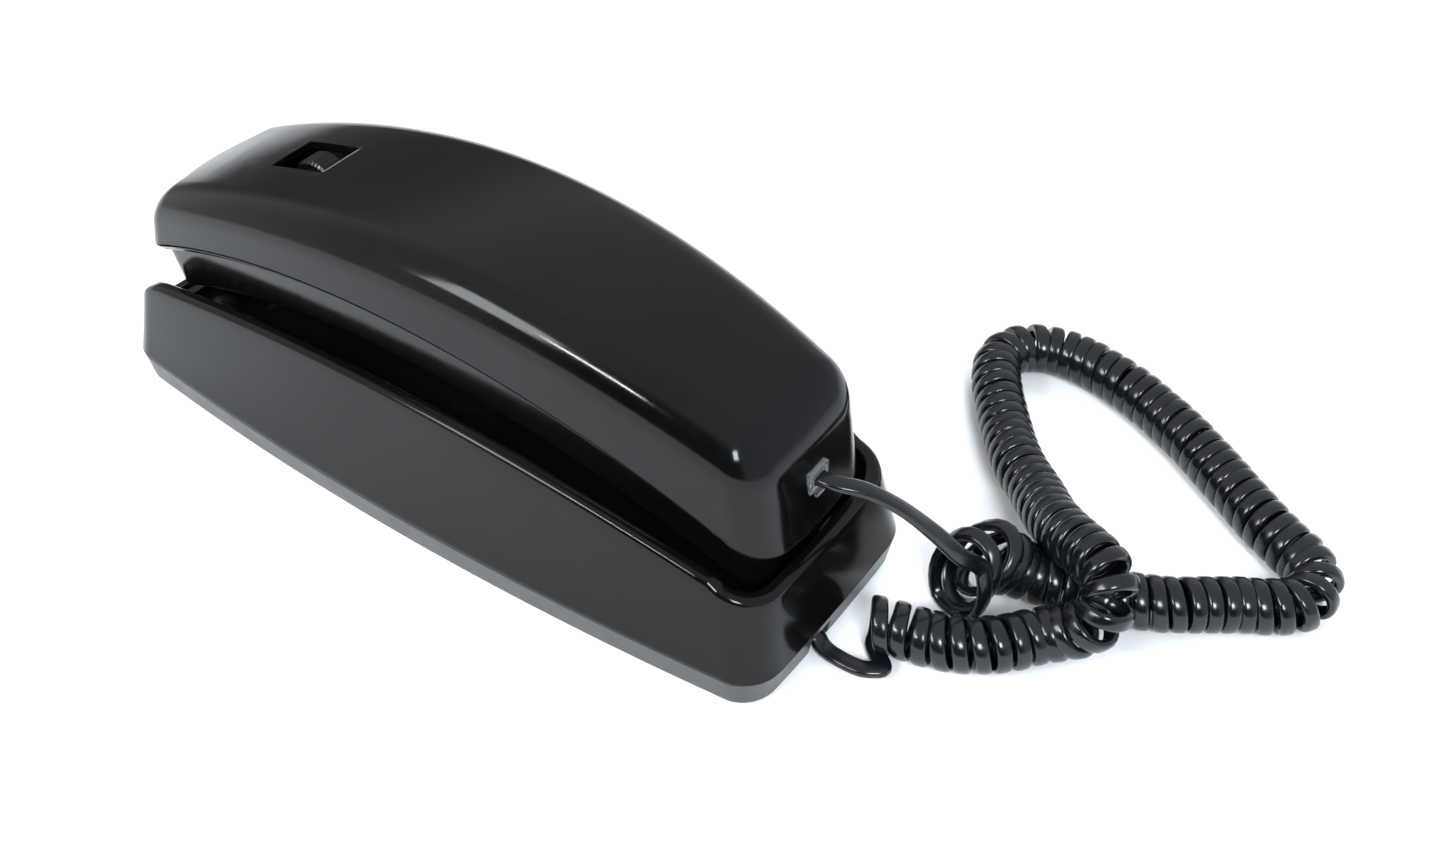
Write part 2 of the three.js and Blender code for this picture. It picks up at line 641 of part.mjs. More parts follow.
function handsetFaceShell() {
  let body = handsetFace().subtract(handsetFace(SHELL, 2));
  for (const boss of handsetScrewBosses()) body = body.add(boss);
  body = body.subtract(post(0, DIAL.y, 0, 56, DIAL_WELL_RADIUS + DIAL_BOWL_WALL + GAP, 32));
  body = body.subtract(box([-2.3, DIAL.y - 27, 40], [2.3, DIAL.y - 20, 51.4]));
  for (const y of [RECEIVER_Y, MOUTHPIECE_Y]) {
    body = body.subtract(onFace([[0, -3], [CAP_RADIUS + GAP, -3], [CAP_RADIUS + GAP, 5], [0, 5]], y, 28));
  }
  for (const y of HANDSET_SCREWS) {
    const face = faceHeight(y);
    body = body.subtract(post(0, y, face - 2, face + 2.4, 2.7, 12)).subtract(post(0, y, face, face + 13, 1.4, 10));
  }
  return body;
}

/** The bowl that the dial turns in, let into the face. */
function dialBowl() {
  const rim = faceHeight(DIAL.y + DIAL_WELL_RADIUS) + 0.4;
  const bowl = turned([
    [3.4, DIAL_FLOOR_Z], [DIAL_WELL_RADIUS, DIAL_FLOOR_Z], [DIAL_WELL_RADIUS, rim],
    [DIAL_WELL_RADIUS + DIAL_BOWL_WALL, rim], [DIAL_WELL_RADIUS + DIAL_BOWL_WALL, DIAL_FLOOR_Z + 2],
    [3.4, DIAL_FLOOR_Z + 2], [3.4, DIAL_FLOOR_Z],
  ], 0, DIAL.y, 0, 32);
  return bowl.subtract(box([-2.3, DIAL.y - 27, 40], [2.3, DIAL.y - 20, 51.4]));
}

function thumbwheel() {
  const { radius, left, right, z } = THUMBWHEEL;
  let body = barX(left, right, WINDOW.y, z, radius, 36);
  body = body.subtract(barX(left - 1, right + 1, WINDOW.y, z, 1.7, 12));
  return body;
}

function volumeAxle() {
  const { left, z } = THUMBWHEEL;
  return barX(left - 2.6, 6.4, WINDOW.y, z, 1.4, 12);
}

function volumeControl() {
  const { right, z } = THUMBWHEEL;
  const side = right + 1.6;
  return box([side, WINDOW.y - 5.5, z - 5], [side + 4, WINDOW.y + 5.5, z + 5]);
}

function volumeBracket() {
  const { left, z } = THUMBWHEEL;
  const plate = box([left - 2.9, WINDOW.y - 4, z - 8], [left - 1.5, WINDOW.y + 4, z + 3.5]);
  return plate.subtract(barX(left - 4, left, WINDOW.y, z, 1.7, 12));
}

function soundHoles(body, circles) {
  let cut = body;
  for (const [circle, count] of circles) {
    for (let i = 0; i < count; i += 1) {
      const angle = (i / count) * 2 * Math.PI;
      cut = cut.subtract(post(circle * Math.cos(angle), circle * Math.sin(angle), -3, 6, 1.2, 6));
    }
  }
  return cut;
}

function faceCap(y, circles) {
  const plain = turned([[0, -0.9], [11, -0.7], [CAP_RADIUS - 1, -0.1], [CAP_RADIUS, 0.9], [CAP_RADIUS, 2.6],
    [CAP_RADIUS - 2, 2.6], [CAP_RADIUS - 2.6, 1.4], [0, 1.1]], 0, 0, 0, 28);
  const slope = -(y - PARTING_ARC.y) / PARTING_ARC.radius;
  return soundHoles(plain, circles)
    .rotate([THREE.MathUtils.radToDeg(Math.asin(slope)), 0, 0]).translate([0, y, faceHeight(y)]);
}

function capsule(y, depth) {
  return onFace([
    [0, 3.4], [CAPSULE_RADIUS - 1, 3.4], [CAPSULE_RADIUS, 4.2], [CAPSULE_RADIUS, depth - 2],
    [CAPSULE_RADIUS - 4, depth], [0, depth],
  ], y, 24);
}

function fingerWheel() {
  const { y, wheelRadius, holeRadius, holeCircle, holes, pitch } = DIAL;
  let body = turned([
    [0, 0], [wheelRadius - 0.6, 0], [wheelRadius, 0.5], [wheelRadius, DIAL_WHEEL_THICK], [0, DIAL_WHEEL_THICK],
  ], 0, y, DIAL_WHEEL_Z, 40);
  for (let i = 0; i < holes; i += 1) {
    const angle = THREE.MathUtils.degToRad(-40 + i * pitch);
    const x = holeCircle * Math.cos(angle);
    body = body.subtract(post(x, y + holeCircle * Math.sin(angle), 40, 60, holeRadius, 14));
  }
  return body.subtract(post(0, y, 40, 60, 2.5, 16));
}

function numberPlate() {
  return turned([[3.7, 0], [21.9, 0], [21.9, 0.9], [3.7, 0.9], [3.7, 0]], 0, DIAL.y, DIAL_PLATE_Z, 36);
}

function fingerStop() {
  const foot = box([-2, DIAL.y - 26.6, 46.4], [2, DIAL.y - 22.9, 51]);
  const hook = prism([
    [-2, DIAL.y - 26.6], [2, DIAL.y - 26.6], [2, DIAL.y - 19], [0.6, DIAL.y - 13.2], [-1, DIAL.y - 13.6],
    [-2, DIAL.y - 19],
  ], 46.4, 47.5);
  return foot.add(hook);
}

function centreCap() {
  return turned([[0, 0], [8, 0], [9, 0.6], [9, 1.1], [0, 1.1]], 0, DIAL.y, DIAL_WHEEL_Z - 1.4, 28);
}

function dialShaft() {
  return turned([
    [0, 48.7], [2.2, 48.7], [2.2, 50.8], [2.9, 50.8], [2.9, 57.2], [2, 57.2], [2, 68.6], [0, 68.6],
  ], 0, DIAL.y, 0, 16);
}

function dialFrame() {
  const plate = post(0, DIAL.y, 54.8, 56.4, 20.4, 28).subtract(post(0, DIAL.y, 50, 60, 3.2, 16));
  const pillars = [[-14, 8], [14, 8], [-14, -8], [14, -8]].map(([x, y]) => post(x, DIAL.y + y, 56, 68, 1.5, 8));
  let body = plate;
  for (const pillar of pillars) body = body.add(pillar);
  const bridge = box([-16, DIAL.y - 10, 66.4], [16, DIAL.y + 10, 67.8]);
  return body.add(bridge.subtract(post(0, DIAL.y, 60, 70, 2.3, 16)));
}

function mainGear() {
  const teeth = 24;
  const root = 9.6;
  const points = [];
  for (let i = 0; i < teeth; i += 1) {
    for (const [share, radius] of [[0, root], [0.3, root + 1.3], [0.55, root + 1.3], [0.85, root]]) {
      const angle = ((i + share) / teeth) * 2 * Math.PI;
      points.push([radius * Math.cos(angle), DIAL.y + radius * Math.sin(angle)]);
    }
  }
  return prism(points, 57.4, 59.2).subtract(post(0, DIAL.y, 50, 65, 2.2, 16));
}

function returnSpringCase() {
  const drum = post(0, DIAL.y, 60, 65, 8.4, 20).subtract(post(0, DIAL.y, 50, 70, 2.3, 16));
  return drum;
}

const GOVERNOR = { y: DIAL.y + 14.6, z: 61.4 };

function governorRotor() {
  const { y, z } = GOVERNOR;
  const axle = barX(-12.4, 12.4, y, z, 0.9, 10);
  const worm = barX(-5, 5, y, z, 1.6, 12);
  const hub = barX(6.4, 9.4, y, z, 2, 12);
  const weights = box([6.8, y - 3.3, z - 1.1], [9, y + 3.3, z + 1.1]);
  return axle.add(worm).add(hub).add(weights);
}

function governorCup() {
  const { y, z } = GOVERNOR;
  const cup = barX(6, 12, y, z, 4.6, 18).subtract(barX(5, 10.4, y, z, 3.9, 18));
  return cup.subtract(barX(5, 14, y, z, 1.2, 12));
}

function handsetBoard() {
  return box([-15, -46, 71], [15, 38, 72.6]).subtract(box([-6, -20, 70], [6, -8, 74]));
}

function handsetScrew(y) {
  const face = faceHeight(y);
  const body = turned([[0, 0.4], [2.4, 0.4], [2.4, 1.9], [1.1, 1.9], [1.1, 11], [0, 11]], 0, y, face, 12);
  return body.subtract(box([-0.35, y - 2, face - 1], [0.35, y + 2, face + 1.1]));
}

// ---------------------------------------------------------------- the cord

function handsetLead() {
  return tube(HANDSET_LEAD_ROUTE, ellipseSection(CORD_THICK / 2, CORD_WIDTH / 2, 8), 12);
}

function baseLead() {
  return tube(BASE_LEAD_ROUTE, ellipseSection(CORD_THICK / 2, CORD_THICK / 2, 8), 8);
}

function coiledCord() {
  return tube(COIL_ROUTE, ellipseSection(COIL_RADIUS, COIL_RADIUS, 12), 50);
}

// ---------------------------------------------------------------- materials

function finish(color, roughness, metalness) {
  return () => new THREE.MeshStandardMaterial({ color, roughness, metalness });
}

const glossBlack = finish(0x0b0b0d, 0.18, 0);
const panBlack = finish(0x1a1b1e, 0.4, 0);
const satinBlack = finish(0x141416, 0.45, 0);
const rubber = finish(0x101010, 0.85, 0);
const clear = finish(0xdfe4e6, 0.1, 0);
const cordBlack = finish(0x0a0a0b, 0.25, 0);
const steel = finish(0x9a9da0, 0.35, 1);
const brass = finish(0xb08d4a, 0.35, 1);
const bellMetal = finish(0xb9bcc0, 0.25, 1);
const board = finish(0x6d5a34, 0.6, 0);
const ivory = finish(0xe6e3d8, 0.4, 0);
const copper = finish(0x8a4a24, 0.4, 0.6);
const capsuleGrey = finish(0x5a5d60, 0.5, 0.2);

// ---------------------------------------------------------------- assembly

const telephone = new THREE.Group();

function place(name, body, material) {
  const mesh = new THREE.Mesh(geometryOf(body), material());
  mesh.name = name;
  telephone.add(mesh);
}

function placeEach(name, bodies, material) {
  bodies.forEach((body, i) => place(`${name}_${i + 1}`, body, material));
}

place('base_housing', baseHousing(), glossBlack);
place('base_pan', basePan(), panBlack);
placeEach('foot', FOOT_PLACES.map(([x, y]) => foot(x, y)), rubber);
placeEach('pan_screw', SCREW_PLACES.map(([x, y]) => panScrew(x, y)), steel);
place('hook_plunger', hookPlunger(), satinBlack);
place('hook_spring', plungerSpring(), steel);
place('hook_switch', hookSwitch(), satinBlack);
place('ringer_gong', ringerGong(), bellMetal);
place('gong_post', gongPost(), brass);
place('gong_screw', gongScrew(), steel);
place('clapper', clapper(), brass);
place('clapper_pin', clapperPin(), steel);
place('ringer_coil', ringerCoil(), copper);
place('ringer_core', ringerCore(), steel);
place('network_board', networkBoard(), board);
placeEach('board_post', boardPosts(), satinBlack);
place('transformer', transformer(), steel);
place('capacitor', capacitor(), ivory);
place('loudness_switch', loudnessSwitch(), satinBlack);
place('loudness_slider', loudnessSlider(), ivory);
place('ballast_plate', ballastPlate(), steel);
place('base_cord_jack', baseCordJack(), satinBlack);
place('line_jack', lineJack(), satinBlack);

place('handset_back_shell', handsetBackShell(), glossBlack);
place('handset_face_shell', handsetFaceShell(), glossBlack);
place('volume_thumbwheel', thumbwheel(), satinBlack);
place('volume_axle', volumeAxle(), steel);
place('volume_control', volumeControl(), satinBlack);
place('volume_bracket', volumeBracket(), steel);
place('receiver_cap', faceCap(RECEIVER_Y, [[0, 1], [6, 6]]), glossBlack);
place('receiver_capsule', capsule(RECEIVER_Y, 11), capsuleGrey);
place('mouthpiece_cap', faceCap(MOUTHPIECE_Y, [[7, 6]]), glossBlack);
place('microphone_capsule', capsule(MOUTHPIECE_Y, 12), capsuleGrey);
place('dial_bowl', dialBowl(), glossBlack);
place('dial_finger_wheel', fingerWheel(), glossBlack);
place('dial_number_plate', numberPlate(), ivory);
place('dial_finger_stop', fingerStop(), steel);
place('dial_centre_cap', centreCap(), ivory);
place('dial_shaft', dialShaft(), brass);
place('dial_frame', dialFrame(), steel);
place('dial_main_gear', mainGear(), brass);
place('dial_spring_case', returnSpringCase(), brass);
place('governor_rotor', governorRotor(), brass);
place('governor_cup', governorCup(), steel);
place('handset_board', handsetBoard(), board);
place('handset_jack', modularJack(HANDSET_JACK_MOUTH_Y, JACK_CENTRE_Z, 5.6, 5), satinBlack);
placeEach('handset_screw', HANDSET_SCREWS.map((y) => handsetScrew(y)), steel);

place('handset_plug', modularPlug(HANDSET_PLUG_REAR_Y, JACK_CENTRE_Z), clear);
place('base_plug', basePlug(), clear);
place('cord_handset_lead', handsetLead(), cordBlack);
place('cord_coil', coiledCord(), cordBlack);
place('cord_base_lead', baseLead(), cordBlack);

export default telephone;
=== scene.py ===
"""Looks of the two-piece telephone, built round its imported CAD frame. Shapes are written in millimetres."""

import json
import math

import bpy
import numpy as np
from mathutils import Matrix, Vector


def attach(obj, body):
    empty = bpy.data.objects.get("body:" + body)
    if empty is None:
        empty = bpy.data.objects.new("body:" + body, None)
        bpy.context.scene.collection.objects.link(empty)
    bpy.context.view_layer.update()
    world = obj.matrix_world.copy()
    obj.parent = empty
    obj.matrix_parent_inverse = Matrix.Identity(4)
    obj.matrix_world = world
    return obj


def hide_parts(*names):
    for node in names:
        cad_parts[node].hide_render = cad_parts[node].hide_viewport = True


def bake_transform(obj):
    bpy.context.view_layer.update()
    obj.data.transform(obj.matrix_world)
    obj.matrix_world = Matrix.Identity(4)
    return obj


MM = 0.001

# ------------------------------------------------------------------ sizes, as in the CAD part

BASE_HALF_LENGTH, BASE_HALF_WIDTH, BASE_SIDE_BOW = 107.5, 40.3, 6.2
BASE_PARTING_Z, WALL_DRAFT, PAN_TAPER, FOOT_HEIGHT = 9.6, 0.19, 2.0, 1.0
RIM_MIDDLE_Z, RIM_END_DROP, RIM_WIDTH, RIM_ROUND = 44.5, 13.9, 4.3, 1.5
EAR_WALL_DROP, EAR_WALL_FROM_Y = 10.5, 92.0
DECK_MIDDLE_Z, DECK_END_Z = 34.0, 18.2
RESTS = [(-10, -82), (10, -82), (-10, 86), (10, 86)]
PLUNGER = (0, -34, 3.4)

HANDSET_CORD_END, HANDSET_EAR_END = -100.8, 105.0
HANDSET_HALF_WIDTH, HANDSET_WIDEST_Y, HANDSET_SIDE_BOW = 29.25, 12.0, 0.00052
PARTING_ARC = dict(middle=5, top=63.7, radius=213)
CREST_ARC = dict(middle=-8, top=82.4, radius=222)
EAR_FULLNESS = dict(start=30, reach=80, rise=2.5)
RIDGE_RADIUS, RIDGE_LAST_DEGREES, CROWN, CROWN_FADE = 10.2, 86.5, 0.5, 12.0
SHELL_THICK, HOUSING_THICK, PAN_THICK = 2.0, 1.5, 1.9
SIDE_LEAN, CORD_LEAN, EAR_LEAN = 0.8, 3.1, 1.0
BAND_INSET, BAND_CORD_INSET, BAND_EAR_INSET = 3.2, 3.8, 7.0
FACE_DROP, FACE_ROUND = 16.0, 3.0
WINDOW = dict(y=54.1, half_width=6.9, half_length=6.3)
WHEEL = dict(left=-1.6, right=5.2, z=64.6, radius=8.3)
DIAL_Y, DIAL_WHEEL_Z, DIGITS_Z, DIAL_OPENING_RADIUS = 5.0, 48.6, 50.87, 24.4
DIAL_HOLE_CIRCLE, DIAL_HOLE_RADIUS, DIAL_FIRST_HOLE, DIAL_HOLE_STEP = 16.2, 3.4, -40, 28
HANDSET_SCREW_Y = (-85, 89.5)
RECEIVER_Y, MOUTHPIECE_Y, CAP_RADIUS = 65.0, -60.0, 17.5
PLUG_HALF_WIDTH, PLUG_HALF_HEIGHT, PLUG_LENGTH = 3.8, 3.0, 11.7
HANDSET_PLUG = (0.0, -99.4, 48.0)
BASE_PLUG = (-6.0, -101.0, 6.8)

CORD_WIDTH, CORD_THICK, COIL_MEAN_RADIUS, COIL_PITCH = 4.5, 2.5, 5.78, 4.05
COIL_FIRST_POINT, COIL_LAST_PART_TURN, COIL_LOWEST = (20.8, -133.6, 17.0), 0.62, 1.65
COIL_POINTS_A_TURN, CORD_SIDES, LEAD_SPACING = 26, 22, 0.8

CAMERA_PLACE, CAMERA_LENS = (-228.27, -227.99, 304.85), 40.347
CAMERA_AZIMUTH, CAMERA_ELEVATION, CAMERA_ROLL = -55.74, 42.94, 1.09

# ------------------------------------------------------------------ routes of the cord, listed

HANDSET_LEAD_ROUTE = [
    (0, -98.6, 48), (0.6, -103, 48), (3.9, -109.2, 46.6), (8.4, -115.8, 41.6), (13.2, -122.8, 33.6),
    (17.2, -128.6, 25.6),
]
COIL_ROUTE = [
    (22.6, -126.5, 9.6), (27, -127.8, 11.8), (31, -130, 12.4), (34, -134, 11.2), (36.6, -140, 9),
    (39.4, -147.2, 7.5), (42.4, -155.6, 7.2), (45.2, -164, 7.2), (49.2, -171.7, 7.2), (54.2, -178.8, 7.2),
    (59.2, -186, 7.2), (63.2, -192.6, 7.2), (68.6, -197.8, 7.2), (75.6, -198.4, 7.2), (81.2, -194.2, 7.2),
    (84.8, -187.6, 7.2), (88.8, -180.4, 7.2), (94, -172.4, 7.2), (100.4, -162.6, 7.2), (106.8, -152.4, 7.2),
    (112, -142.2, 7.2), (116, -133, 7.2), (118.8, -123.6, 7.2), (120.2, -113.4, 7.2), (119, -104.2, 7.2),
    (114.2, -97.2, 7.2), (107, -94.8, 7.2), (99.2, -97.6, 7.2), (91, -103, 7.2), (80.6, -110.8, 7.6),
    (69.6, -119.8, 9), (60.9, -128.8, 11.4), (51, -137.8, 15), (43.6, -146, 19), (38.8, -153, 21.8),
    (34.6, -158.9, 22.4), (30.6, -161.9, 20.4), (27.6, -161.9, 16.8),
    (25.8, -159.4, 12.8), (24.4, -155.3, 9.6),
    (21.4, -150.4, 7.6), (16.6, -146.2, 7.2), (12.3, -141.9, 7.2), (8.8, -137, 7.2), (6.3, -131.6, 7.2),
    (4.7, -126.4, 7.2), (3.4, -120.8, 7.2), (1.4, -115, 7.2),
]
BASE_LEAD_ROUTE = [
    (-5.8, -122.6, 2.2), (-7.8, -119.4, 2.2), (-8.4, -114, 2.2), (-7.8, -108.6, 2.3), (-6.8, -105.8, 3.6),
    (-6.1, -103.2, 6.2), (-6, -100.2, 6.8),
]


# ------------------------------------------------------------------ frame, camera

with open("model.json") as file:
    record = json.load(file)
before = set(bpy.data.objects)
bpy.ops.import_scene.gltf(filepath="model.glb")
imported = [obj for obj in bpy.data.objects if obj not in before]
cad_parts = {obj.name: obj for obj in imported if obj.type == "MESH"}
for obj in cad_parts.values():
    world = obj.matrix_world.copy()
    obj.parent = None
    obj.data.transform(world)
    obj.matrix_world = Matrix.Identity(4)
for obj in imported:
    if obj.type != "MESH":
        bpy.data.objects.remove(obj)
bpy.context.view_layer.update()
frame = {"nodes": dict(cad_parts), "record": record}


def camera():
    azimuth, elevation = math.radians(CAMERA_AZIMUTH), math.radians(CAMERA_ELEVATION)
    roll = math.radians(CAMERA_ROLL)
    back = Vector((math.sin(azimuth) * math.cos(elevation), -math.cos(azimuth) * math.cos(elevation),
                   math.sin(elevation)))
    right = Vector((math.cos(azimuth), math.sin(azimuth), 0))
    up = back.cross(right)
    turned_right = math.cos(roll) * right + math.sin(roll) * up
    turned_up = -math.sin(roll) * right + math.cos(roll) * up
    data = bpy.data.cameras.new("camera")
    data.sensor_width = 36
    data.lens = CAMERA_LENS
    data.clip_start, data.clip_end = 0.01, 20
    cam = bpy.data.objects.new("camera", data)
    bpy.context.scene.collection.objects.link(cam)
    turn = Matrix((turned_right, turned_up, back)).transposed().to_4x4()
    cam.matrix_world = Matrix.Translation(Vector(CAMERA_PLACE) * MM) @ turn
    bpy.context.scene.camera = cam


# ------------------------------------------------------------------ materials

def principled(name):
    material = bpy.data.materials.new(name)
    material.use_nodes = True
    nodes, links = material.node_tree.nodes, material.node_tree.links
    return material, nodes, links, nodes["Principled BSDF"]


def texture(nodes, links, kind, scale, stretch=(1, 1, 1), **settings):
    place = nodes.new("ShaderNodeTexCoord")
    mapping = nodes.new("ShaderNodeMapping")
    mapping.inputs["Scale"].default_value = stretch
    made = nodes.new(kind)
    made.inputs["Scale"].default_value = scale
    for key, value in settings.items():
        made.inputs[key].default_value = value
    links.new(place.outputs["Object"], mapping.inputs["Vector"])
    links.new(mapping.outputs["Vector"], made.inputs["Vector"])
    return made


def spread(nodes, links, source, low, high, socket, from_low=0.3, from_high=0.7):
    """Maps a grey texture onto a shader value between low and high."""
    node = nodes.new("ShaderNodeMapRange")
    node.inputs["From Min"].default_value = from_low
    node.inputs["From Max"].default_value = from_high
    node.inputs["To Min"].default_value = low
    node.inputs["To Max"].default_value = high
    links.new(source, node.inputs["Value"])
    links.new(node.outputs["Result"], socket)


def tint(nodes, links, source, dark, light, socket):
    ramp = nodes.new("ShaderNodeValToRGB")
    ramp.color_ramp.elements[0].position, ramp.color_ramp.elements[1].position = 0.35, 0.65
    ramp.color_ramp.elements[0].color = (*dark, 1)
    ramp.color_ramp.elements[1].color = (*light, 1)
    links.new(source, ramp.inputs["Fac"])
    links.new(ramp.outputs["Color"], socket)


def bump(nodes, links, source, shader, strength, distance):
    node = nodes.new("ShaderNodeBump")
    node.inputs["Strength"].default_value = strength
    node.inputs["Distance"].default_value = distance
    links.new(source, node.inputs["Height"])
    links.new(node.outputs["Normal"], shader.inputs["Normal"])


def plastic(name, dark, light, rough, rough_high, ior=1.45, waves=0.0, grain=0.0):
    """Moulded plastic: a slow drift in tone and gloss, and either faint waves or a fine grain."""
    material, nodes, links, shader = principled(name)
    slow = texture(nodes, links, "ShaderNodeTexNoise", 28, Detail=3.0)
    tint(nodes, links, slow.outputs["Fac"], dark, light, shader.inputs["Base Color"])
    fine = texture(nodes, links, "ShaderNodeTexNoise", 190, Detail=4.0)
    spread(nodes, links, fine.outputs["Fac"], rough, rough_high, shader.inputs["Roughness"])
    shader.inputs["IOR"].default_value = ior
    if waves:
        wave = texture(nodes, links, "ShaderNodeTexNoise", 22, Detail=1.0)
        bump(nodes, links, wave.outputs["Fac"], shader, waves, 0.001)
    if grain:
        pores = texture(nodes, links, "ShaderNodeTexNoise", 2200, Detail=2.0)
        bump(nodes, links, pores.outputs["Fac"], shader, grain, 0.0001)
    return material


def metal(name, dark, light, rough, rough_high, stretch=(1, 1, 1)):
    material, nodes, links, shader = principled(name)
    streaks = texture(nodes, links, "ShaderNodeTexNoise", 160, stretch, Detail=5.0)
    tint(nodes, links, streaks.outputs["Fac"], dark, light, shader.inputs["Base Color"])
    spread(nodes, links, streaks.outputs["Fac"], rough, rough_high, shader.inputs["Roughness"])
    shader.inputs["Metallic"].default_value = 1
    return material


def clear_plastic():
    material, nodes, links, shader = principled("clear_plastic")
    haze = texture(nodes, links, "ShaderNodeTexNoise", 120, Detail=3.0)
    colour = shader.inputs["Base Color"]
    tint(nodes, links, haze.outputs["Fac"], (0.86, 0.88, 0.88), (0.96, 0.97, 0.97), colour)
    spread(nodes, links, haze.outputs["Fac"], 0.04, 0.14, shader.inputs["Roughness"])
    shader.inputs["Transmission Weight"].default_value = 0.93
    shader.inputs["IOR"].default_value = 1.49
    return material


MATERIALS = {
    "gloss_black": plastic("gloss_black", (0.0018, 0.0018, 0.0019), (0.003, 0.0029, 0.003),
                           0.1, 0.15, 1.31, 0.02),
    "pan_black": plastic("pan_black", (0.022, 0.022, 0.024), (0.032, 0.032, 0.034), 0.3, 0.38, 1.5, 0, 0.12),
    "satin_black": plastic("satin_black", (0.006, 0.006, 0.006), (0.011, 0.011, 0.011),
                           0.3, 0.42, 1.45, 0, 0.1),
    "rubber": plastic("rubber", (0.012, 0.012, 0.012), (0.022, 0.021, 0.02), 0.7, 0.85, 1.45, 0, 0.4),
    "clear_plastic": clear_plastic(),
    "cord_black": plastic("cord_black", (0.002, 0.0026, 0.0036), (0.0036, 0.0046, 0.006),
                          0.16, 0.24, 1.47, 0.01),
    "steel": metal("steel", (0.42, 0.43, 0.44), (0.62, 0.63, 0.64), 0.22, 0.36, (1, 14, 1)),
    "brass": metal("brass", (0.5, 0.34, 0.12), (0.68, 0.5, 0.22), 0.2, 0.34, (1, 6, 1)),
    "bell_metal": metal("bell_metal", (0.5, 0.51, 0.53), (0.7, 0.71, 0.73), 0.12, 0.22),
    "board": plastic("board", (0.24, 0.15, 0.05), (0.36, 0.25, 0.1), 0.45, 0.6, 1.5, 0, 0.3),
    "ivory": plastic("ivory", (0.72, 0.69, 0.6), (0.82, 0.8, 0.72), 0.25, 0.34, 1.48, 0, 0.05),
    "copper": metal("copper", (0.4, 0.14, 0.05), (0.6, 0.26, 0.12), 0.25, 0.4, (30, 1, 1)),
    "capsule_grey": metal("capsule_grey", (0.28, 0.29, 0.3), (0.4, 0.41, 0.42), 0.35, 0.5),
}
CONTACT_GOLD = metal("contact_gold", (0.75, 0.55, 0.22), (0.9, 0.7, 0.34), 0.12, 0.2)
WHEEL_BLACK = plastic("wheel_black", (0.002, 0.002, 0.002), (0.004, 0.004, 0.004), 0.16, 0.24, 1.3)
DIGIT_INK = plastic("digit_ink", (0.01, 0.01, 0.012), (0.02, 0.02, 0.022), 0.35, 0.5)


def paint(obj, slot, material=None):
    obj.data.materials.clear()
    obj.data.materials.append(material or MATERIALS[slot])
    return obj


# ------------------------------------------------------------------ meshes

def mesh_object(name, vertices, faces, smooth_angle=35):
    """A mesh in metres from millimetres, smooth except across edges sharper than smooth_angle degrees."""
    data = bpy.data.meshes.new(name)
    data.from_pydata([tuple(c * MM for c in v) for v in vertices], [], faces)
    data.validate()
    obj = bpy.data.objects.new(name, data)
    bpy.context.scene.collection.objects.link(obj)
    shade(obj, smooth_angle)
    return obj


def shade(obj, smooth_angle=35):
    obj.data.polygons.foreach_set("use_smooth", [True] * len(obj.data.polygons))
    obj.data.set_sharp_from_angle(angle=math.radians(smooth_angle))
    obj.data.update()


def bake(obj, smooth_angle=35):
    """Applies the object's modifiers to its mesh."""
    evaluated = obj.evaluated_get(bpy.context.evaluated_depsgraph_get())
    data = bpy.data.meshes.new_from_object(evaluated)
    obj.modifiers.clear()
    obj.data = data
    shade(obj, smooth_angle)
    return obj


def thicken(obj, thickness, smooth_angle=35):
    """Gives an open skin its thickness, inwards."""
    solid = obj.modifiers.new("thickness", "SOLIDIFY")
    solid.thickness = thickness * MM
    solid.offset = -1
    solid.use_rim = True
    return bake(obj, smooth_angle)


def cut(obj, *tools, smooth_angle=35):
    for tool in tools:
        boolean = obj.modifiers.new("cut", "BOOLEAN")
        boolean.operation = "DIFFERENCE"
        boolean.solver = "EXACT"
        boolean.object = tool
    bake(obj, smooth_angle)
    for tool in tools:
        bpy.data.objects.remove(tool)
    return obj


def join(name, objects, smooth_angle=35):
    """One mesh object out of several."""
    vertices, faces = [], []
    for obj in objects:
        start = len(vertices)
        vertices += [tuple(v.co / MM) for v in obj.data.vertices]
        faces += [tuple(start + i for i in p.vertices) for p in obj.data.polygons]
        bpy.data.objects.remove(obj)
    return mesh_object(name, vertices, faces, smooth_angle)


def round_edges(obj, width, segments=3, angle=35):
    """Rounds the edges of a piece."""
    bevel = obj.modifiers.new("round", "BEVEL")
    bevel.width = width * MM
    bevel.segments = segments
    bevel.limit_method = "ANGLE"
    bevel.angle_limit = math.radians(angle)
    return obj


def block(name, low, high, rounding=0.0):
    vertices = [(x, y, z) for x in (low[0], high[0]) for y in (low[1], high[1]) for z in (low[2], high[2])]
    faces = [(0, 1, 3, 2), (4, 6, 7, 5), (0, 4, 5, 1), (2, 3, 7, 6), (0, 2, 6, 4), (1, 5, 7, 3)]
    obj = mesh_object(name, vertices, faces)
    if rounding:
        bake(round_edges(obj, rounding), 50)
    return obj


def lathe(name, profile, sides=64, smooth_angle=35):
    """A turned body about Z from a closed profile of (radius, z).

    The profile runs counter-clockwise with radius to the right."""
    vertices, rows = [], []
    for radius, z in profile:
        if radius < 1e-6:
            rows.append([len(vertices)] * sides)
            vertices.append((0, 0, z))
        else:
            rows.append(list(range(len(vertices), len(vertices) + sides)))
            for i in range(sides):
                angle = 2 * math.pi * i / sides
                vertices.append((radius * math.cos(angle), radius * math.sin(angle), z))
    faces = []
    for a, b in zip(rows, rows[1:] + rows[:1]):
        for i in range(sides):
            j = (i + 1) % sides
            corners = []
            for v in (a[i], a[j], b[j], b[i]):
                if v not in corners:
                    corners.append(v)
            if len(corners) > 2:
                faces.append(tuple(corners))
    return mesh_object(name, vertices, faces, smooth_angle)


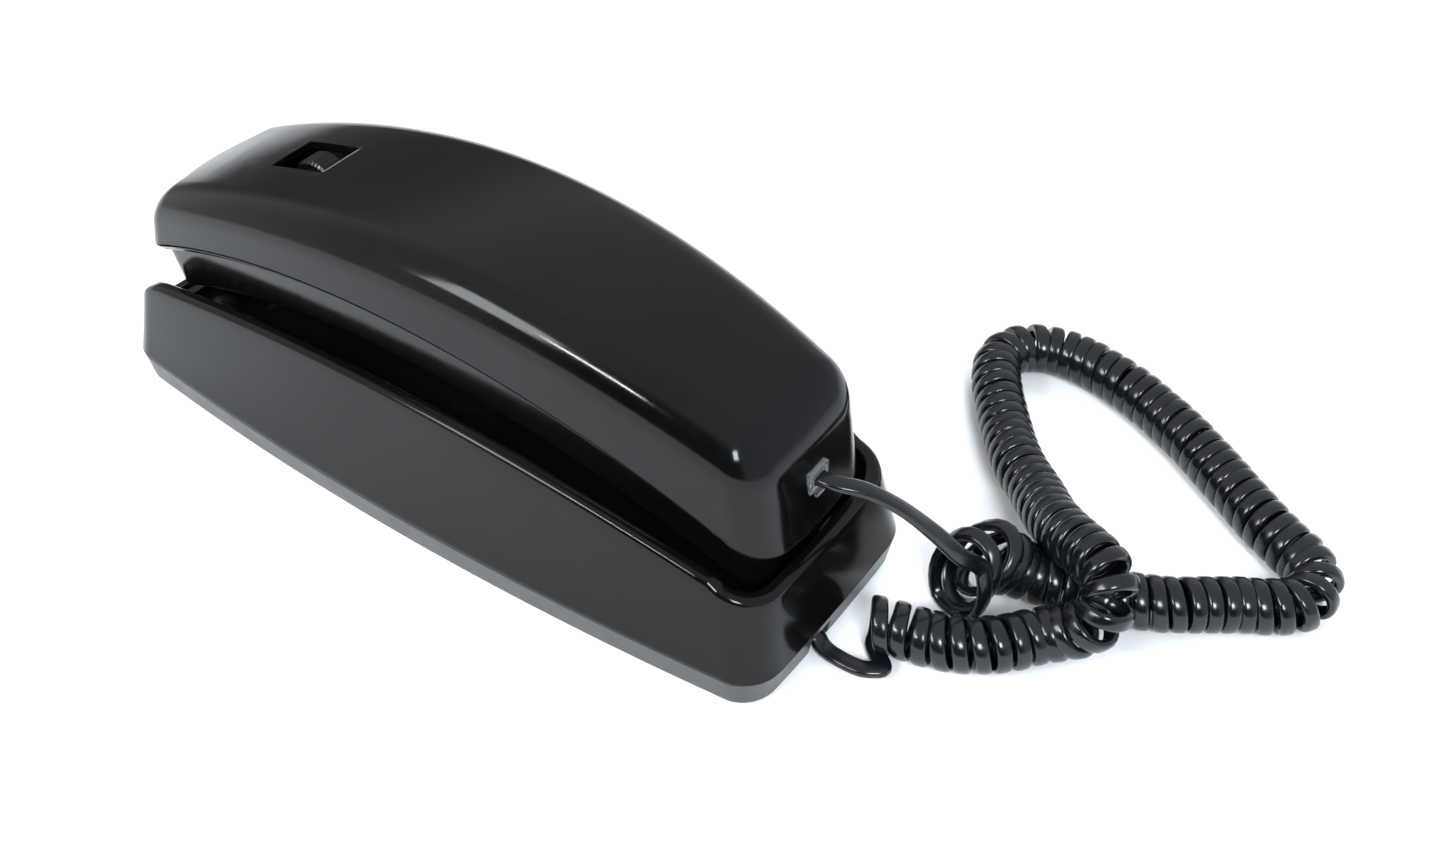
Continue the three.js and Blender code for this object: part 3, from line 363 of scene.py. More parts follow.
def cylinder(name, x, y, z0, z1, radius, sides=64):
    obj = lathe(name, [(0, z0), (radius, z0), (radius, z1), (0, z1)], sides)
    obj.data.transform(Matrix.Translation(Vector((x, y, 0)) * MM))
    return obj


# ------------------------------------------------------------------ lofts between rounded outlines

class Form:
    """A long outline with bowed sides and rounded corners."""

    def __init__(self, cord_end, ear_end, half_width, cord_corner, ear_corner, cord_bow, ear_bow,
                 columns, stations):
        self.cord_end, self.ear_end, self.half_width = cord_end, ear_end, half_width
        self.cord_corner, self.ear_corner = cord_corner, ear_corner
        self.cord_bow, self.ear_bow = cord_bow, ear_bow
        self.columns, self.stations = columns, stations

    def outline(self, inset=0.0, cord_inset=None, ear_inset=None):
        """The right half, from the middle of the cord end to the middle of the ear end, as (x, y) points."""
        cord_inset = inset if cord_inset is None else cord_inset
        ear_inset = inset if ear_inset is None else ear_inset

        def sides(y):
            return self.half_width(y) - inset

        def end(tip, direction, radius, end_bow):
            corner_y = tip + direction * radius
            corner_x = sides(corner_y) - radius
            straight = list(self.columns)
            last = straight[-1]
            straight += [last + (corner_x - last) * k / 4 for k in range(1, 4)]

            edge = sides(corner_y)
            bowed = min(end_bow, 0.62 * radius * (edge / corner_x) ** 2)
            slope = direction * 2 * bowed * corner_x / edge ** 2
            steps = 12

            def bow(x):
                return direction * bowed * (x / edge) ** 2

            points = [(x, tip + bow(x)) for x in straight]
            for step in range(steps + 1):
                angle = step / steps * math.pi / 2
                rise = direction * radius * (1 - math.cos(angle)) + bow(corner_x) * math.cos(angle)
                eased = slope * radius * math.sin(angle) * math.cos(angle) ** 3
                points.append((corner_x + radius * math.sin(angle), tip + rise + eased))
            return points

        cord_radius = max(self.cord_corner - inset, 1)
        ear_radius = max(self.ear_corner - inset, 1)
        cord_tip, ear_tip = self.cord_end + cord_inset, self.ear_end - ear_inset
        low, high = cord_tip + cord_radius, ear_tip - ear_radius
        half = end(cord_tip, 1, cord_radius, self.cord_bow)
        marks = [low, *self.stations, high]
        for a, b in zip(marks, marks[1:]):
            count = max(2, round((b - a) / 4)) if (a, b) in zip(self.stations, self.stations[1:]) else 12
            for step in range(1 if a == low else 0, count):
                y = a + (b - a) * step / count
                half.append((sides(y), y))
        half += reversed(end(ear_tip, -1, ear_radius, self.ear_bow))
        return half


def lifted(points, height):
    return [(x, y, height(y)) for x, y in points]


def closed(half):
    """A right half mirrored about x = 0."""
    return half + [(-x, y, z) for x, y, z in reversed(half[1:-1])]


def crowned_rows(half, columns, crown):
    """Rows of points across a cap from a half ring: columns gives the x places from right to left."""
    rows = []
    for x, y, z in half:
        if x < 1e-6:
            rows.append([(0, y, z + crown(0, y, 1))])
            continue
        places = columns(x)
        rows.append([(p, y, z + crown(p, y, x)) for p in places])
    return rows


def loft(name, halves, cap_last=None, cap_first=None, skip=None):
    """A skin through rings given by their right halves; caps are rows across the last or first ring."""
    vertices, faces = [], []
    rings = [closed(h) for h in halves]
    count = len(rings[0])
    for ring in rings:
        assert len(ring) == count
        vertices += ring
    for r in range(len(rings) - 1):
        for i in range(count):
            a, b = r * count + i, r * count + (i + 1) % count
            faces.append((a, b, b + count, a + count))

    def cap(rows, offset, flip):
        index = []
        for i, row in enumerate(rows):
            ids = []
            for k, point in enumerate(row):
                if k == 0:
                    ids.append(offset + i)
                elif k == len(row) - 1:
                    ids.append(offset + (count - i) % count)
                else:
                    ids.append(len(vertices))
                    vertices.append(point)
            index.append(ids)
        for i in range(len(rows) - 1):
            a, b = index[i], index[i + 1]
            if len(a) == 1 or len(b) == 1:
                single, row = (a[0], b) if len(a) == 1 else (b[0], a)
                for k in range(len(row) - 1):
                    face = (single, row[k], row[k + 1]) if len(a) == 1 else (row[k], single, row[k + 1])
                    faces.append(tuple(reversed(face)) if flip else face)
                continue
            for k in range(len(a) - 1):
                face = (a[k], b[k], b[k + 1], a[k + 1])
                faces.append(tuple(reversed(face)) if flip else face)

    if cap_last:
        cap(cap_last, (len(rings) - 1) * count, False)
    if cap_first:
        cap(cap_first, 0, True)
    if skip:
        kept = []
        for face in faces:
            centre = [sum(vertices[i][k] for i in face) / len(face) for k in range(3)]
            if not skip(*centre):
                kept.append(face)
        faces = kept
    return mesh_object(name, vertices, faces)


def even_columns(count):
    return lambda x: [x * (1 - 2 * k / count) for k in range(count + 1)]


# ------------------------------------------------------------------ the base

def arc_height(y, middle, top, radius):
    return top - radius + math.sqrt(radius ** 2 - (y - middle) ** 2)


BASE_FORM = Form(
    -BASE_HALF_LENGTH, BASE_HALF_LENGTH,
    lambda y: BASE_HALF_WIDTH - BASE_SIDE_BOW * (y / BASE_HALF_LENGTH) ** 2,
    11, 11, 0.8, 0.8, [0, 1.4, 2.8, 4.6, 6.4, 8.6, 10.8], [-90, -60, 0, 60, 90],
)


def rim_height(y):
    dip = EAR_WALL_DROP * (max(y - EAR_WALL_FROM_Y, 0) / (BASE_HALF_LENGTH - EAR_WALL_FROM_Y)) ** 3
    return RIM_MIDDLE_Z - RIM_END_DROP * (y / BASE_HALF_LENGTH) ** 2 - dip


def deck_height(y):
    return DECK_MIDDLE_Z - (DECK_MIDDLE_Z - DECK_END_Z) * (y / 95) ** 2


def wall_half(height, extra=0.0):
    """A half ring of the base's wall at a height, drawn in by the wall's lean."""
    def lean(y):
        return WALL_DRAFT * (height(y) - BASE_PARTING_Z) + extra

    form = Form(
        BASE_FORM.cord_end, BASE_FORM.ear_end, lambda y: BASE_FORM.half_width(y) - lean(y),
        BASE_FORM.cord_corner - extra, BASE_FORM.ear_corner - extra, BASE_FORM.cord_bow, BASE_FORM.ear_bow,
        BASE_FORM.columns, BASE_FORM.stations,
    )
    ends = lean(-BASE_HALF_LENGTH), lean(BASE_HALF_LENGTH)
    return lifted(form.outline(0, *ends), height)


def rim_half(below, extra=0.0):
    """The same near the rim, level across the rim's width all the way round."""
    reference = BASE_FORM.outline()
    ring = wall_half(lambda y: rim_height(y) - below, extra)
    return [(x, y, rim_height(reference[i][1]) - below) for i, (x, y, z) in enumerate(ring)]


def mixed(a, b, share):
    return [tuple(p + (q - p) * share for p, q in zip(u, v)) for u, v in zip(a, b)]


def base_housing():
    low, shoulder = wall_half(lambda y: BASE_PARTING_Z), rim_half(RIM_ROUND)
    halves = [
        [(x * 0.994, y * 0.9978, z) for x, y, z in low],
        [(x * 0.9985, y * 0.9994, z + 0.04) for x, y, z in low],
        [(x, y, z + 0.2) for x, y, z in low],
    ]
    row = (12.5 - BASE_PARTING_Z) / (rim_height(BASE_HALF_LENGTH) - RIM_ROUND - BASE_PARTING_Z)
    for share in (0.04, row, 0.45, 0.7, 0.9):
        halves.append(mixed(low, shoulder, share))
    for degrees in (0, 15, 30, 45, 60, 75, 90):
        angle = math.radians(degrees)
        halves.append(rim_half(RIM_ROUND * (1 - math.sin(angle)), RIM_ROUND * (1 - math.cos(angle))))
    inner_round = 1.1
    inner = RIM_WIDTH - inner_round
    for degrees in (90, 65, 40, 15, 0):
        angle = math.radians(degrees)
        drop = inner_round * (1 - math.sin(angle))
        halves.append(rim_half(drop, inner + inner_round * math.cos(angle) - 0.4))
    lip = halves[-1]
    deck_inset = RIM_WIDTH + 1.2 + WALL_DRAFT * (RIM_MIDDLE_Z - DECK_MIDDLE_Z)
    deck_edge = wall_half(deck_height, deck_inset)
    wide = wall_half(lambda y: deck_height(y) + 2.2, deck_inset - 0.5)
    for share in (0.3, 0.6, 0.85):
        halves.append(mixed(lip, wide, share))
    halves += [wide, wall_half(lambda y: deck_height(y) + 0.7, deck_inset + 0.2), deck_edge]
    halves.append(wall_half(deck_height, deck_inset + 1.6))
    rows = crowned_rows(halves[-1], even_columns(10), lambda x, y, edge: 0)
    body = loft("base_housing_shell", halves, cap_last=rows,
                skip=lambda x, y, z: y > 100 and abs(x) < 6.4 and z < 12.4)
    thicken(body, HOUSING_THICK)
    cut(body, cylinder("tool", PLUNGER[0], PLUNGER[1], 20, 60, PLUNGER[2] + 0.3))
    pads = []
    for i, (x, y) in enumerate(RESTS):
        pad = block(f"pad_{i}", (x - 4, y - 4, deck_height(y) - 1), (x + 4, y + 4, face_height(y) - 0.9), 0.8)
        for v in pad.data.vertices:
            if v.co.z / MM > deck_height(y) + 1:
                v.co.z += (face_height(v.co.y / MM) - face_height(y) + 0.5) * MM
        pads.append(pad)
    body = join("base_housing_shell", [body, *pads])
    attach(body, "base")
    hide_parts("base_housing")
    return paint(body, "gloss_black")


def base_pan():
    top = BASE_PARTING_Z - 0.3

    def ring(inset, z):
        return lifted(BASE_FORM.outline(inset), lambda y: z)

    halves = [ring(PAN_TAPER + 1.6, FOOT_HEIGHT), ring(PAN_TAPER, FOOT_HEIGHT)]
    for degrees in (30, 60, 90):
        angle = math.radians(degrees)
        halves.append(ring(PAN_TAPER - 0.6 * math.sin(angle), FOOT_HEIGHT + 0.7 * (1 - math.cos(angle))))
    for z in (3.1, 4.8, 6.4, 8):
        halves.append(ring(PAN_TAPER - 0.6 - (z - 1.7) * 0.158, z))
    halves += [ring(0.28, top - 0.5), ring(0.4, top - 0.36), ring(1, top - 0.32), ring(1, top)]
    rows = crowned_rows(halves[0], even_columns(10), lambda x, y, edge: 0)

    def open_place(x, y, z):
        line_jack = y > 100 and abs(x) < 6.4 and z > 3.1
        cord = y < -100 and -10.8 < x < -2.8 and z < 6.4
        return line_jack or cord

    body = loft("base_pan_shell", halves, cap_first=rows, skip=open_place)
    thicken(body, PAN_THICK)
    tools = [cylinder("tool", x, y, 0, 1.85, 5.3) for x in (-24, 24) for y in (-86, 86)]
    tools += [cylinder("tool", x, y, 0, 5, 3.2) for x in (-25, 25) for y in (-66, 64)]
    tools.append(block("tool", (-2, 66, 0), (2, 76, 5)))
    tools.append(block("tool", (-10.8, -104.9, 0), (-2.8, -98.6, 20)))
    tools.append(block("tool", (-11.9, -98.9, 0), (-0.1, -83.8, 20)))
    cut(body, *tools)
    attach(body, "base")
    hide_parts("base_pan")
    return paint(body, "pan_black")


# ------------------------------------------------------------------ the handset

HANDSET_FORM = Form(
    HANDSET_CORD_END, HANDSET_EAR_END,
    lambda y: HANDSET_HALF_WIDTH - HANDSET_SIDE_BOW * (y - HANDSET_WIDEST_Y) ** 2,
    11, 14, 1.6, 5.5, [0, 1, 2, 3, 4.1],
    [-80, -30, 20, WINDOW["y"] - WINDOW["half_length"], WINDOW["y"] + WINDOW["half_length"], 76],
)


def parting_height(y):
    return arc_height(y, **PARTING_ARC)


def crest_height(y):
    fullness = EAR_FULLNESS["rise"] * (max(y - EAR_FULLNESS["start"], 0) / EAR_FULLNESS["reach"]) ** 2
    return arc_height(y, **CREST_ARC) + fullness


def face_height(y):
    return parting_height(y) - FACE_DROP


def back_half(degrees):
    """A half ring of the handset's back, at an angle round its ridge."""
    angle = math.radians(degrees)
    inward = RIDGE_RADIUS * (1 - math.cos(angle))
    drop = RIDGE_RADIUS * (1 - math.sin(angle))
    points = HANDSET_FORM.outline(inward + SIDE_LEAN, inward + CORD_LEAN, inward + EAR_LEAN)
    return lifted(points, lambda y: crest_height(y) - drop)


def handset_back():
    base = lifted(HANDSET_FORM.outline(), lambda y: parting_height(y) + 0.15)
    shoulder = back_half(4)
    tucked = lifted(HANDSET_FORM.outline(0.3), lambda y: parting_height(y) + 0.12)
    edge = lifted(HANDSET_FORM.outline(0.02), lambda y: parting_height(y) + 0.42)
    halves = [tucked, edge]
    low_z, high_z = base[0][2], shoulder[0][2]
    jack_rows = [(z - low_z) / (high_z - low_z) for z in (42.5, 44.7, 51.3)]
    for share in sorted([0.07, 0.22, 0.65, 0.8, *jack_rows]):
        halves.append(mixed(base, shoulder, share))
    for degrees in (4, 11, 18, 25, 32, 39, 46, 53, 60, 67, 74, 81, RIDGE_LAST_DEGREES):
        halves.append(back_half(degrees))

    def columns(x):
        edge = min(WINDOW["half_width"], 0.55 * x)
        outer = [edge + (x - edge) * k / 4 for k in (4, 3, 2, 1)]
        inner = [edge * k / 4 for k in range(4, -5, -1)]
        return outer + inner + [-p for p in reversed(outer)]

    ends = halves[-1][0][1], halves[-1][-1][1]

    def crown(x, y, edge):
        near = min((y - ends[0]) / CROWN_FADE, (ends[1] - y) / CROWN_FADE, 1)
        return CROWN * (1 - (x / edge) ** 2) * max(near, 0)

    rows = crowned_rows(halves[-1], columns, crown)

    def open_place(x, y, z):
        return y < -90 and (abs(x) < 4.1 and 44.7 < z < 51.3 or abs(x) < 2 and 42.5 < z < 51.3)

    body = loft("handset_back_casing", halves, cap_last=rows, skip=open_place)
    thicken(body, SHELL_THICK)
    cut(body, window_tool())
    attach(body, "handset")
    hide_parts("handset_back_shell")
    return paint(body, "gloss_black")


def window_tool():
    """The thumbwheel's window: straight through, with a sloped rim at the end nearer the cord."""
    y, half = WINDOW["y"], WINDOW["half_length"]
    ear, cord_side = y + half + 3.2, y - half - 3
    cord_top = crest_height(cord_side) + CROWN
    profile = [(cord_side, cord_top + 4), (cord_side, cord_top), (y - half, crest_height(y - half) - 1.3),
               (y - half, cord_top - 9), (ear, cord_top - 9), (ear, cord_top + 4)]
    count = len(profile)
    vertices = [(side * WINDOW["half_width"], p, q) for side in (-1, 1) for p, q in profile]
    faces = [tuple(reversed(range(count))), tuple(range(count, 2 * count))]
    faces += [(i, (i + 1) % count, (i + 1) % count + count, i + count) for i in range(count)]
    return mesh_object("tool", vertices, faces)


def band_half(height, share, extra):
    points = HANDSET_FORM.outline(
        BAND_INSET * share + extra, BAND_CORD_INSET * share + extra, BAND_EAR_INSET * share + extra)
    return lifted(points, height)


def handset_face():
    def at(drop):
        return lambda y: parting_height(y) - drop

    halves = [band_half(face_height, 1, FACE_ROUND)]
    for degrees in (20, 40, 60, 80):
        angle = math.radians(degrees)
        height = at(FACE_DROP - FACE_ROUND * (1 - math.cos(angle)))
        halves.append(band_half(height, 1, FACE_ROUND * (1 - math.sin(angle))))
    halves.append(band_half(at(12.6), 1, 0))
    for drop in (10, 7.5, 5, 2.6):
        halves.append(band_half(at(drop), 1 - 0.3 * (12.6 - drop) / 10, 0))
    for drop, share in ((1.9, 0.5), (1.2, 0.27), (0.5, 0.06), (0.25, 0.05)):
        halves.append(band_half(at(drop), share, 0))
    halves.append(band_half(at(0.13), 0.05, 0.2))
    rows = crowned_rows(halves[0], even_columns(16), lambda x, y, edge: 0)
    body = loft("handset_face_casing", halves, cap_first=rows)
    thicken(body, SHELL_THICK)
    tools = [cylinder("tool", 0, DIAL_Y, 30, 60, DIAL_OPENING_RADIUS, 96)]
    tools.append(block("tool", (-2.3, DIAL_Y - 27, 40), (2.3, DIAL_Y - 20, 51.4)))
    for y in (RECEIVER_Y, MOUTHPIECE_Y):
        tool = cylinder("tool", 0, 0, -3, 5, CAP_RADIUS + 0.3, 96)
        tool.data.transform(on_face(y))
        tools.append(tool)
    tools += [cylinder("tool", 0, y, face_height(y) - 3, face_height(y) + 2.4, 2.7) for y in HANDSET_SCREW_Y]
    cut(body, *tools)
    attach(body, "handset")
    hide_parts("handset_face_shell")
    return paint(body, "gloss_black")


def on_face(y):
    """The turn and shift that sets a piece square to the face at a place along Y."""
    slope = math.asin((PARTING_ARC["middle"] - y) / PARTING_ARC["radius"])
    return Matrix.Translation(Vector((0, y, face_height(y))) * MM) @ Matrix.Rotation(slope, 4, "X")


def thumbwheel():
    """A wheel with fine ribs round its edge."""
    ribs = 44
    vertices, faces = [], []
    half = (WHEEL["right"] - WHEEL["left"]) / 2
    middle = (WHEEL["right"] + WHEEL["left"]) / 2
    profile = [(1.7, -half), (WHEEL["radius"] - 0.6, -half), (WHEEL["radius"], -half + 0.6),
               (WHEEL["radius"], half - 0.6), (WHEEL["radius"] - 0.6, half), (1.7, half)]
    steps = ribs * 6
    for radius, x in profile:
        for i in range(steps):
            angle = 2 * math.pi * i / steps
            groove = 0.16 * (0.5 + 0.5 * math.cos(angle * ribs)) if radius > 5 else 0
            r = radius - groove
            vertices.append((middle + x, WINDOW["y"] + r * math.cos(angle), WHEEL["z"] + r * math.sin(angle)))
    for p in range(len(profile)):
        q = (p + 1) % len(profile)
        for i in range(steps):
            j = (i + 1) % steps
            faces.append((p * steps + i, q * steps + i, q * steps + j, p * steps + j))
    body = mesh_object("volume_wheel_ribbed", vertices, faces, 30)
    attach(body, "volume_thumbwheel")
    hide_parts("volume_thumbwheel")
    return paint(body, "satin_black", WHEEL_BLACK)


def plug(name, place, body_name, node):
    """A clear modular plug with four gilt contacts and its latch tab."""
    x0, rear, z0 = place
    contact_places = (-1.5, -0.5, 0.5, 1.5)
    nose = rear + PLUG_LENGTH
    low, high = z0 - PLUG_HALF_HEIGHT, z0 + PLUG_HALF_HEIGHT
    shell = block(name, (x0 - PLUG_HALF_WIDTH, rear, low), (x0 + PLUG_HALF_WIDTH, nose, high), 0.35)
    channel = block("tool", (x0 - 2.35, rear - 1, z0 - 1.35), (x0 + 2.35, rear + 6, z0 + 1.35), 0.3)
    slot_tools = [block("tool", (x0 + c - 0.22, nose - 3.4, high - 1.5), (x0 + c + 0.22, nose + 1, high + 1))
                  for c in contact_places]
    cut(shell, channel, *slot_tools)
    profile = [(nose - 1.2, low + 0.4), (nose - 1.2, low - 0.2),
               (rear + 3.6, low - 1.7), (rear - 0.6, low - 1.7),
               (rear - 0.6, low - 0.8), (rear + 3.6, low - 0.8), (nose - 3, low + 0.4)]
    vertices = [(x0 + side * 1.6, y, z) for side in (-1, 1) for y, z in profile]
    count = len(profile)
    faces = [tuple(range(count)), tuple(reversed(range(count, 2 * count)))]
    faces += [(i, i + count, (i + 1) % count + count, (i + 1) % count) for i in range(count)]
    tab = mesh_object("tab", vertices, faces)
    body = join(name, [shell, tab], 40)
    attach(body, body_name)
    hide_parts(node)
    paint(body, "clear_plastic")
    blades = [block("blade", (x0 + c - 0.15, nose - 3.3, high - 1.5),
                    (x0 + c + 0.15, nose - 0.3, high - 0.4), 0.05)
              for c in contact_places]
    contacts = join(name + "_contacts", blades)
    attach(contacts, body_name)
    paint(contacts, "brass", CONTACT_GOLD)
    return body


# ------------------------------------------------------------------ the dial and the caps

def hole_place(i):
    """The middle of a finger hole, measured from the dial's own middle."""
    angle = math.radians(DIAL_FIRST_HOLE + DIAL_HOLE_STEP * i)
    return DIAL_HOLE_CIRCLE * math.cos(angle), DIAL_HOLE_CIRCLE * math.sin(angle)


def finger_wheel():
    z = DIAL_WHEEL_Z
    body = lathe("finger_wheel_disc", [(2.5, z), (20.2, z), (21, z + 0.2), (21.5, z + 0.7), (21.5, z + 1.5),
                                       (21.2, z + 1.8), (2.5, z + 1.8)], 128)
    tools = [cylinder("tool", *hole_place(i), 40, 60, DIAL_HOLE_RADIUS, 48) for i in range(10)]
    cut(body, *tools)
    body.data.transform(Matrix.Translation(Vector((0, DIAL_Y, 0)) * MM))
    bake(round_edges(body, 0.25, 2, 50), 50)
    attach(body, "dial")
    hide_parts("dial_finger_wheel")
    return paint(body, "gloss_black")


def digits():
    """The numbers on the dial's plate, one behind each finger hole, facing down.

    The dial turns clockwise as seen from its front, so the last hole comes to the stop first and
    holds 1, and the first holds 0."""
    pieces = []
    for i, text in enumerate("0987654321"):
        curve = bpy.data.curves.new("digit", "FONT")
        curve.body = text
        curve.size = 4.2 * MM
        curve.extrude = 0.04 * MM
        curve.align_x, curve.align_y = "CENTER", "CENTER"
        made = bpy.data.objects.new("digit", curve)
        bpy.context.scene.collection.objects.link(made)
        data = bpy.data.meshes.new_from_object(made.evaluated_get(bpy.context.evaluated_depsgraph_get()))
        bpy.data.objects.remove(made)
        x, y = hole_place(i)
        place = Vector((x, DIAL_Y + y, DIGITS_Z)) * MM
        data.transform(Matrix.Translation(place) @ Matrix.Rotation(math.pi, 4, "Y"))
        piece = bpy.data.objects.new("digit", data)
        bpy.context.scene.collection.objects.link(piece)
        pieces.append(piece)
    body = join("dial_digits", pieces)
    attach(body, "handset")
    return paint(body, "ivory", DIGIT_INK)


def face_cap(name, y, circles, node):
    """A shallow domed cap with sound holes on circles of (radius, count)."""
    body = lathe(name, [(0, -0.9), (5, -0.86), (11, -0.7), (14.5, -0.42), (16.3, -0.12), (17.1, 0.3),
                        (CAP_RADIUS, 0.95), (CAP_RADIUS, 2.6), (15.5, 2.6), (14.9, 1.4), (0, 1.1)], 128)
    tools = []
    for circle, count in circles:
        for i in range(count):
            angle = 2 * math.pi * i / count
            tools.append(cylinder("tool", circle * math.cos(angle), circle * math.sin(angle), -3, 4, 1.2, 24))
    cut(body, *tools)
    body.data.transform(on_face(y))
    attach(body, "handset")
    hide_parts(node)
    return paint(body, "gloss_black")


# ------------------------------------------------------------------ the cord

def smooth_route(route, spacing):
    """Points at an even spacing along a centripetal Catmull-Rom curve through the route."""
    points = [np.array(p, float) for p in route]
    points = [2 * points[0] - points[1], *points, 2 * points[-1] - points[-2]]
    made = []
    for p0, p1, p2, p3 in zip(points, points[1:], points[2:], points[3:]):
        t0 = 0.0
        t1 = t0 + np.linalg.norm(p1 - p0) ** 0.5
        t2 = t1 + np.linalg.norm(p2 - p1) ** 0.5
        t3 = t2 + np.linalg.norm(p3 - p2) ** 0.5
        for t in np.linspace(t1, t2, 24, endpoint=False):
            a1 = (t1 - t) / (t1 - t0) * p0 + (t - t0) / (t1 - t0) * p1
            a2 = (t2 - t) / (t2 - t1) * p1 + (t - t1) / (t2 - t1) * p2
            a3 = (t3 - t) / (t3 - t2) * p2 + (t - t2) / (t3 - t2) * p3
            b1 = (t2 - t) / (t2 - t0) * a1 + (t - t0) / (t2 - t0) * a2
            b2 = (t3 - t) / (t3 - t1) * a2 + (t - t1) / (t3 - t1) * a3
            made.append((t2 - t) / (t2 - t1) * b1 + (t - t1) / (t2 - t1) * b2)
    made.append(points[-2])
    return resample(np.array(made), spacing)


def resample(line, spacing):
    lengths = np.concatenate([[0], np.cumsum(np.linalg.norm(np.diff(line, axis=0), axis=1))])
    count = max(2, int(round(lengths[-1] / spacing)) + 1)
    at = np.linspace(0, lengths[-1], count)
    return np.stack([np.interp(at, lengths, line[:, k]) for k in range(3)], axis=1)


def unit(v):
    return v / np.linalg.norm(v, axis=-1, keepdims=True)


def tangents(line):
    return unit(np.gradient(line, axis=0))


def ease(t):
    t = np.clip(t, 0, 1)
    return t * t * (3 - 2 * t)


def coil():
    """The curly stretch: points of the cord's own centreline, and the coil's axis direction at each."""
    axis = smooth_route(COIL_ROUTE, 0.25)
    along = tangents(axis)
    spacing = np.linalg.norm(axis[1] - axis[0])
    distance = np.arange(len(axis)) * spacing
    length = distance[-1]
    bend = np.linalg.norm(np.gradient(along, spacing, axis=0), axis=1)
    bend = np.convolve(np.pad(bend, 20, mode="edge"), np.ones(41) / 41, mode="valid")
    pitch = COIL_PITCH * (1 + 0.42 * COIL_MEAN_RADIUS * bend + 0.35 * np.exp(-(length - distance) / 8))
    turn = np.concatenate([[0], np.cumsum(spacing / ((pitch[1:] + pitch[:-1]) / 2))])
    total = round(turn[-1] - COIL_LAST_PART_TURN) + COIL_LAST_PART_TURN
    turn = turn * total / turn[-1]
    # a frame carried along the axis without twist, starting at the lead's end
    start = np.array(COIL_FIRST_POINT) - axis[0]
    side = unit(start - along[0] * np.dot(start, along[0]))
    sides = [side]
    for k in range(1, len(axis)):
        side = sides[-1] - along[k] * np.dot(sides[-1], along[k])
        sides.append(unit(side))
    sides = np.array(sides)
    over = np.cross(along, sides)
    fine = np.arange(0, total, 1 / COIL_POINTS_A_TURN)
    at = np.interp(fine, turn, distance)

    def sampled(values):
        return np.stack([np.interp(at, distance, values[:, k]) for k in range(3)], axis=1)

    centre, t, n, b = sampled(axis), unit(sampled(along)), unit(sampled(sides)), unit(sampled(over))
    angle = (2 * np.pi * fine)[:, None]
    opened = 1 - ease((at - 5) / 20)
    radius = COIL_MEAN_RADIUS + 2.3 * opened + 1.1 * np.exp(-at / 1.2) - 0.1 * ease(np.sin(at * 0.35))
    spoke = n * np.cos(angle) + b * np.sin(angle)
    lean = 0.85 * (1 - ease((at - 4) / 22)) + 0.3 * np.exp(-(length - at) / 7)
    lean = lean + 0.1 * np.sin(at * 0.21) + 0.05 * np.sin(at * 0.63 + 1)
    points = centre + radius[:, None] * spoke + t * (lean * radius * spoke[:, 2])[:, None]
    points[:, 2] = np.maximum(points[:, 2], COIL_LOWEST)
    return points, t


def cord():
    """One flat cord: a straight lead, the curly stretch, and the lead to the base.

    The section's wide way lies across each."""
    lead = smooth_route(HANDSET_LEAD_ROUTE, LEAD_SPACING)
    middle, axis = coil()
    tail = smooth_route(BASE_LEAD_ROUTE, LEAD_SPACING)
    joint_a = bridge(lead, middle, LEAD_SPACING)
    joint_b = bridge(middle, tail, LEAD_SPACING)
    line = np.concatenate([lead, joint_a, middle, joint_b, tail])
    heading = tangents(line)
    level = unit(np.cross(heading, np.array([0, 0, 1.0])))
    wide = np.zeros_like(line)
    first, last = len(lead) + len(joint_a), len(lead) + len(joint_a) + len(middle)
    wide[first:last] = axis
    before = level[:first] * np.sign(np.dot(level[first - 1], axis[0]) or 1)
    after = level[last:] * np.sign(np.dot(level[last], axis[-1]) or 1)
    share = ease(np.linspace(0, 1, first) * 1.5 - 0.5)[:, None]
    wide[:first] = before * (1 - share) + axis[0] * share
    share = ease(np.linspace(0, 1, len(after)) * 2.2)[:, None]
    wide[last:] = axis[-1] * (1 - share) + after * share
    wide = unit(wide - heading * np.sum(wide * heading, axis=1, keepdims=True))
    thick = np.cross(heading, wide)
    in_coil = np.zeros(len(line))
    in_coil[first:last] = 1
    in_coil = np.convolve(np.pad(in_coil, 10, mode="edge"), np.ones(21) / 21, mode="valid")
    half_width = CORD_WIDTH / 2 - 0.25 * in_coil
    vertices, faces = cord_skin(line, wide, thick, half_width)
    body = mesh_object("curly_cord", vertices, faces, 60)
    paint(body, "cord_black")
    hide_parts("cord_handset_lead", "cord_coil", "cord_base_lead")
    return body, line


def cord_skin(line, wide, thick, half_width):
    """The flat cord's closed skin: a rounded section at each point of its line."""
    vertices = []
    for k in range(len(line)):
        for i in range(CORD_SIDES):
            angle = 2 * math.pi * (i + 0.5) / CORD_SIDES
            c, s = math.cos(angle), math.sin(angle)
            across = math.copysign(abs(c) ** 0.62, c) * half_width[k]
            through = math.copysign(abs(s) ** 0.8, s) * (CORD_THICK / 2)
            vertices.append(tuple(line[k] + wide[k] * across + thick[k] * through))
    faces = []
    for k in range(len(line) - 1):
        for i in range(CORD_SIDES):
            j = (i + 1) % CORD_SIDES
            here, ahead = k * CORD_SIDES, (k + 1) * CORD_SIDES
            faces.append((here + i, here + j, ahead + j, ahead + i))
    faces.append(tuple(reversed(range(CORD_SIDES))))
    faces.append(tuple(range(len(vertices) - CORD_SIDES, len(vertices))))
    return vertices, faces


